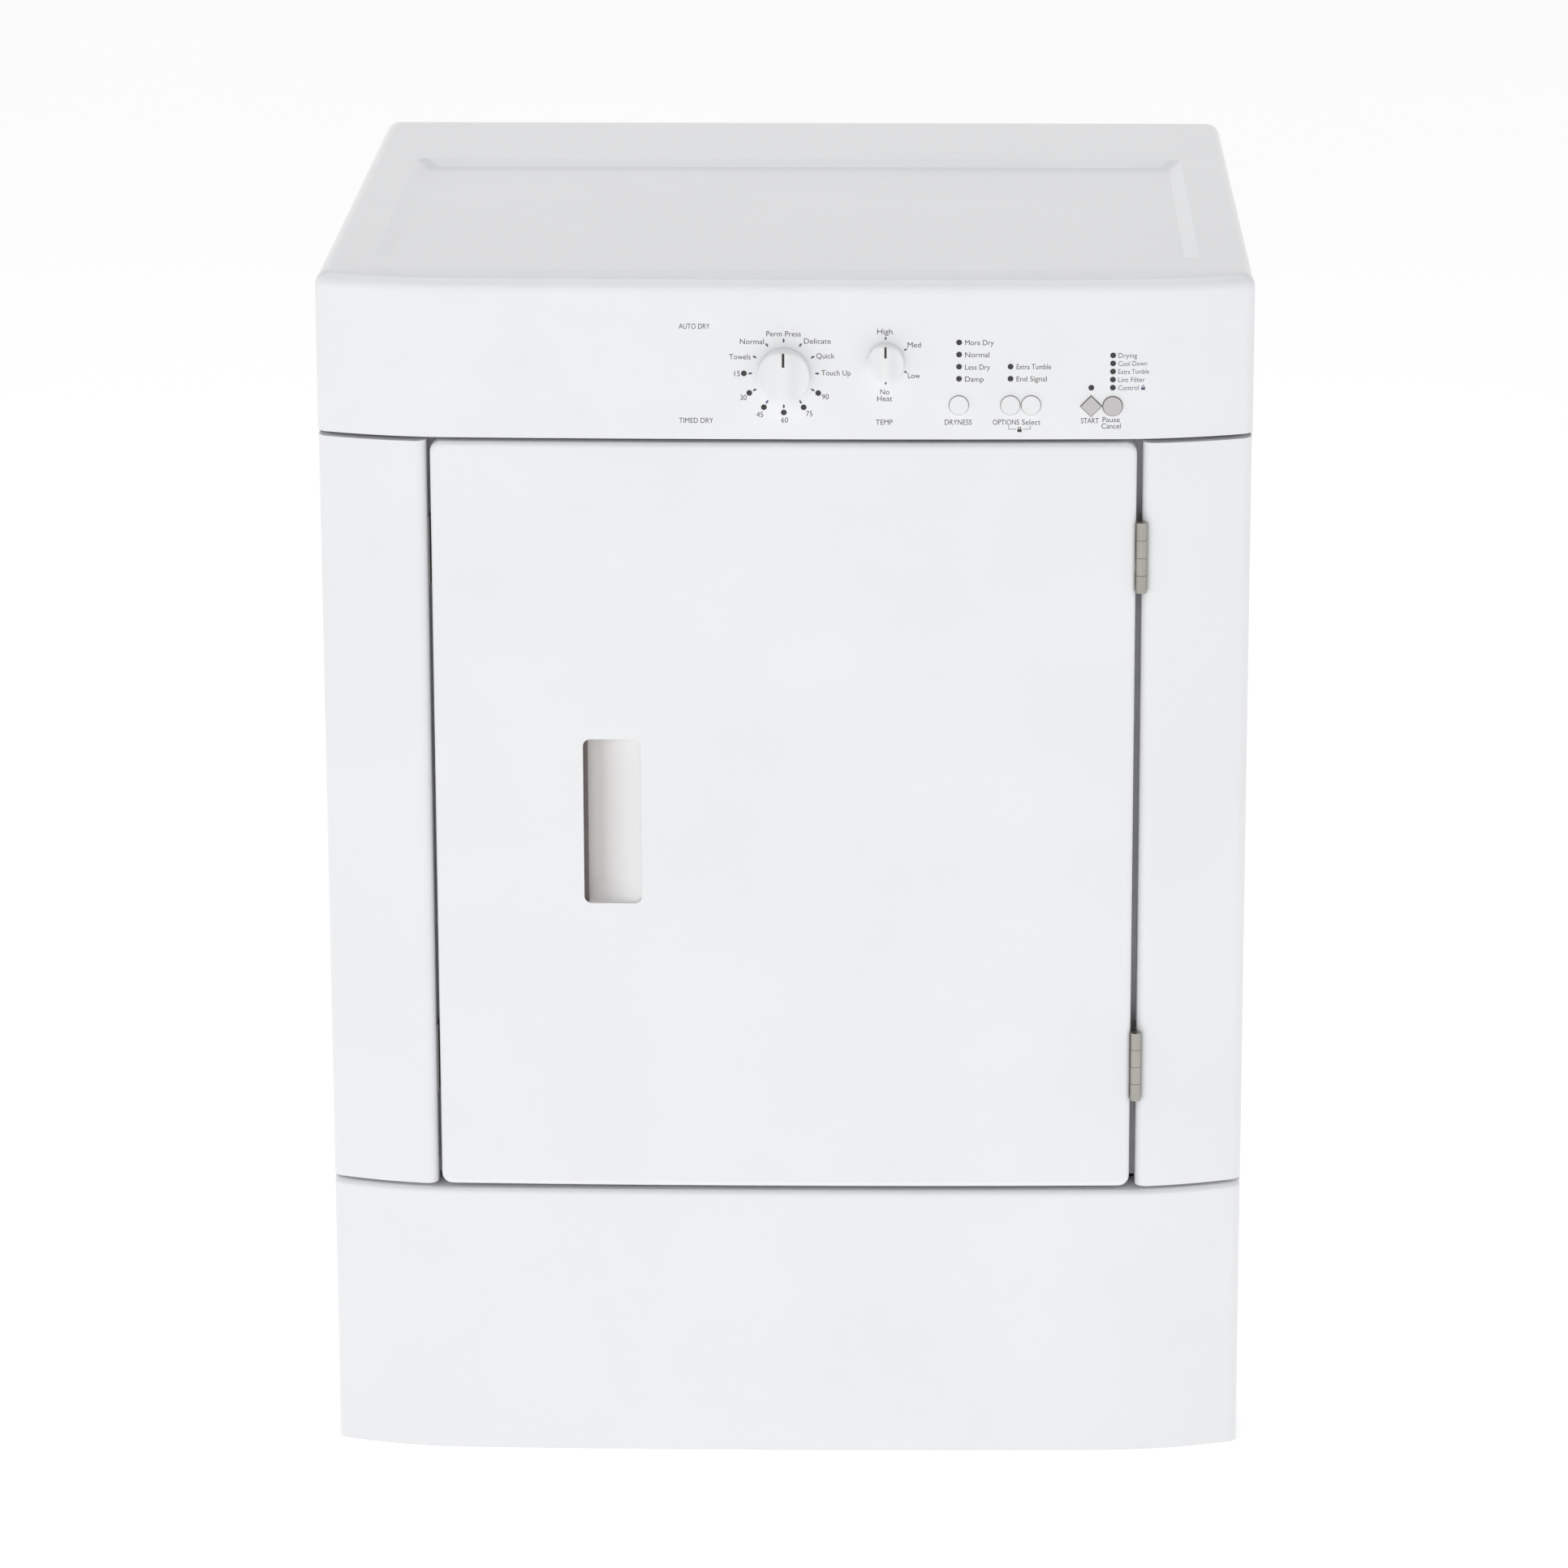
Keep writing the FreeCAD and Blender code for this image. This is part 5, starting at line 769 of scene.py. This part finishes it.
class DRYER_OT_stage(bpy.types.Operator):
    """Lay the floor, hang the soft lights and set up the camera"""
    bl_idname = "dryer.stage"
    bl_label = "Stage"

    def execute(self, context):
        sizes, colours = context.scene.dryer_sizes, context.scene.dryer_colours
        below_the_feet, glow = 0.2 * MM, 0.54  # the floor glows a little, so that it is nearly white
        work = bmesh.new()
        bmesh.ops.create_grid(work, x_segments=8, y_segments=8, size=sizes.stage_width / 2)
        mesh = bpy.data.meshes.new("floor")
        work.to_mesh(mesh)
        work.free()
        floor = bpy.data.objects.new("floor", mesh)
        floor.location = (0.0, 0.0, CAD_BOX[0].z - below_the_feet)
        context.collection.objects.link(floor)
        mesh.materials.append(grainy("painted studio floor", (colours.floor[1:], "EFEFEF"), (0.75, 0.9),
                                     grain_mm=30, depth_mm=0.02, cloud_mm=900, IOR=1.45,
                                     Emission_Color=linear("FFFFFF"), Emission_Strength=glow))
        sky = bpy.data.worlds.new("soft white room")
        context.scene.world = sky
        sky.use_nodes = True
        background = next(node for node in sky.node_tree.nodes if node.type == "BACKGROUND")
        background.inputs["Color"].default_value = (1.0, 1.0, 1.0, 1.0)
        room = sky.node_tree
        towards = add_node(room, "ShaderNodeTexCoord").outputs["Generated"]
        parts = add_node(room, "ShaderNodeSeparateXYZ", {"Vector": towards}).outputs
        # The room is bright at the horizon and dimmer overhead, and brighter on the left.
        above = add_node(room, "ShaderNodeMapRange", {"Value": parts["Z"], "From Min": 0.15, "From Max": 0.7,
                                                      "To Min": 1.0, "To Max": 0.34}).outputs["Result"]
        aside = add_node(room, "ShaderNodeMapRange", {"Value": parts["X"], "From Min": -1.0, "From Max": 1.0,
                                                      "To Min": 1.1, "To Max": 0.84}).outputs["Result"]
        both = add_node(room, "ShaderNodeMath", {0: above, 1: aside}, operation="MULTIPLY")
        room.links.new(both.outputs["Value"], background.inputs["Strength"])
        middle = (0.0, 0.0, 0.5)
        area_light("front_softbox", (-0.9, -4.2, 2.6), middle, (2.6, 2.0), sizes.key_power)
        area_light("right_softbox", (3.4, -2.4, 1.6), middle, (1.6, 2.2), sizes.key_power * 0.12)
        area_light("top_softbox", (0.0, 0.4, 3.4), middle, (2.4, 2.0), sizes.key_power)
        data = bpy.data.cameras.new("studio_camera")
        data.sensor_width, data.lens = 36.0, 148.9
        data.shift_x, data.shift_y = -0.0456, -0.05
        data.clip_start, data.clip_end = 0.05, 100.0
        camera = bpy.data.objects.new("studio_camera", data)
        camera.location = (0.1136, -4.9662, 1.8294)
        pitch, yaw = math.radians(14.95), math.radians(-0.76)
        gaze = Vector((math.sin(yaw) * math.cos(pitch), math.cos(yaw) * math.cos(pitch), -math.sin(pitch)))
        camera.rotation_euler = gaze.to_track_quat("-Z", "Y").to_euler()
        context.collection.objects.link(camera)
        context.scene.camera = camera
        context.scene.view_settings.view_transform = "Standard"
        return {"FINISHED"}


# ---------------------------------------------------------------- panel and run


class DRYER_PT_panel(bpy.types.Panel):
    """Everything that the dryer's add-on can make"""
    bl_idname = "DRYER_PT_panel"
    bl_label = "Dryer"
    bl_space_type = "VIEW_3D"
    bl_region_type = "UI"
    bl_category = "Dryer"

    def draw(self, context):
        for group in (context.scene.dryer_sizes, context.scene.dryer_colours):
            for key in group.__annotations__:
                self.layout.prop(group, key)
        for operator in OPERATORS:
            self.layout.operator(operator.bl_idname)


OPERATORS = (DRYER_OT_finishes, DRYER_OT_knobs, DRYER_OT_button_rims, DRYER_OT_handle_slot,
             DRYER_OT_handle_scoop, DRYER_OT_printing, DRYER_OT_stage)
CLASSES = (DryerColours, DryerSizes, *OPERATORS, DRYER_PT_panel)


def register():
    for item in CLASSES:
        bpy.utils.register_class(item)
    bpy.types.Scene.dryer_colours = PointerProperty(type=DryerColours)
    bpy.types.Scene.dryer_sizes = PointerProperty(type=DryerSizes)


def unregister():
    del bpy.types.Scene.dryer_sizes
    del bpy.types.Scene.dryer_colours
    for item in reversed(CLASSES):
        bpy.utils.unregister_class(item)


def main():
    """Make everything in order."""
    register()
    bpy.ops.dryer.finishes()
    bpy.ops.dryer.knobs()
    bpy.ops.dryer.button_rims()
    bpy.ops.dryer.handle_slot()
    bpy.ops.dryer.handle_scoop()
    bpy.ops.dryer.printing()
    bpy.ops.dryer.stage()


if __name__ == "__main__":
    main()
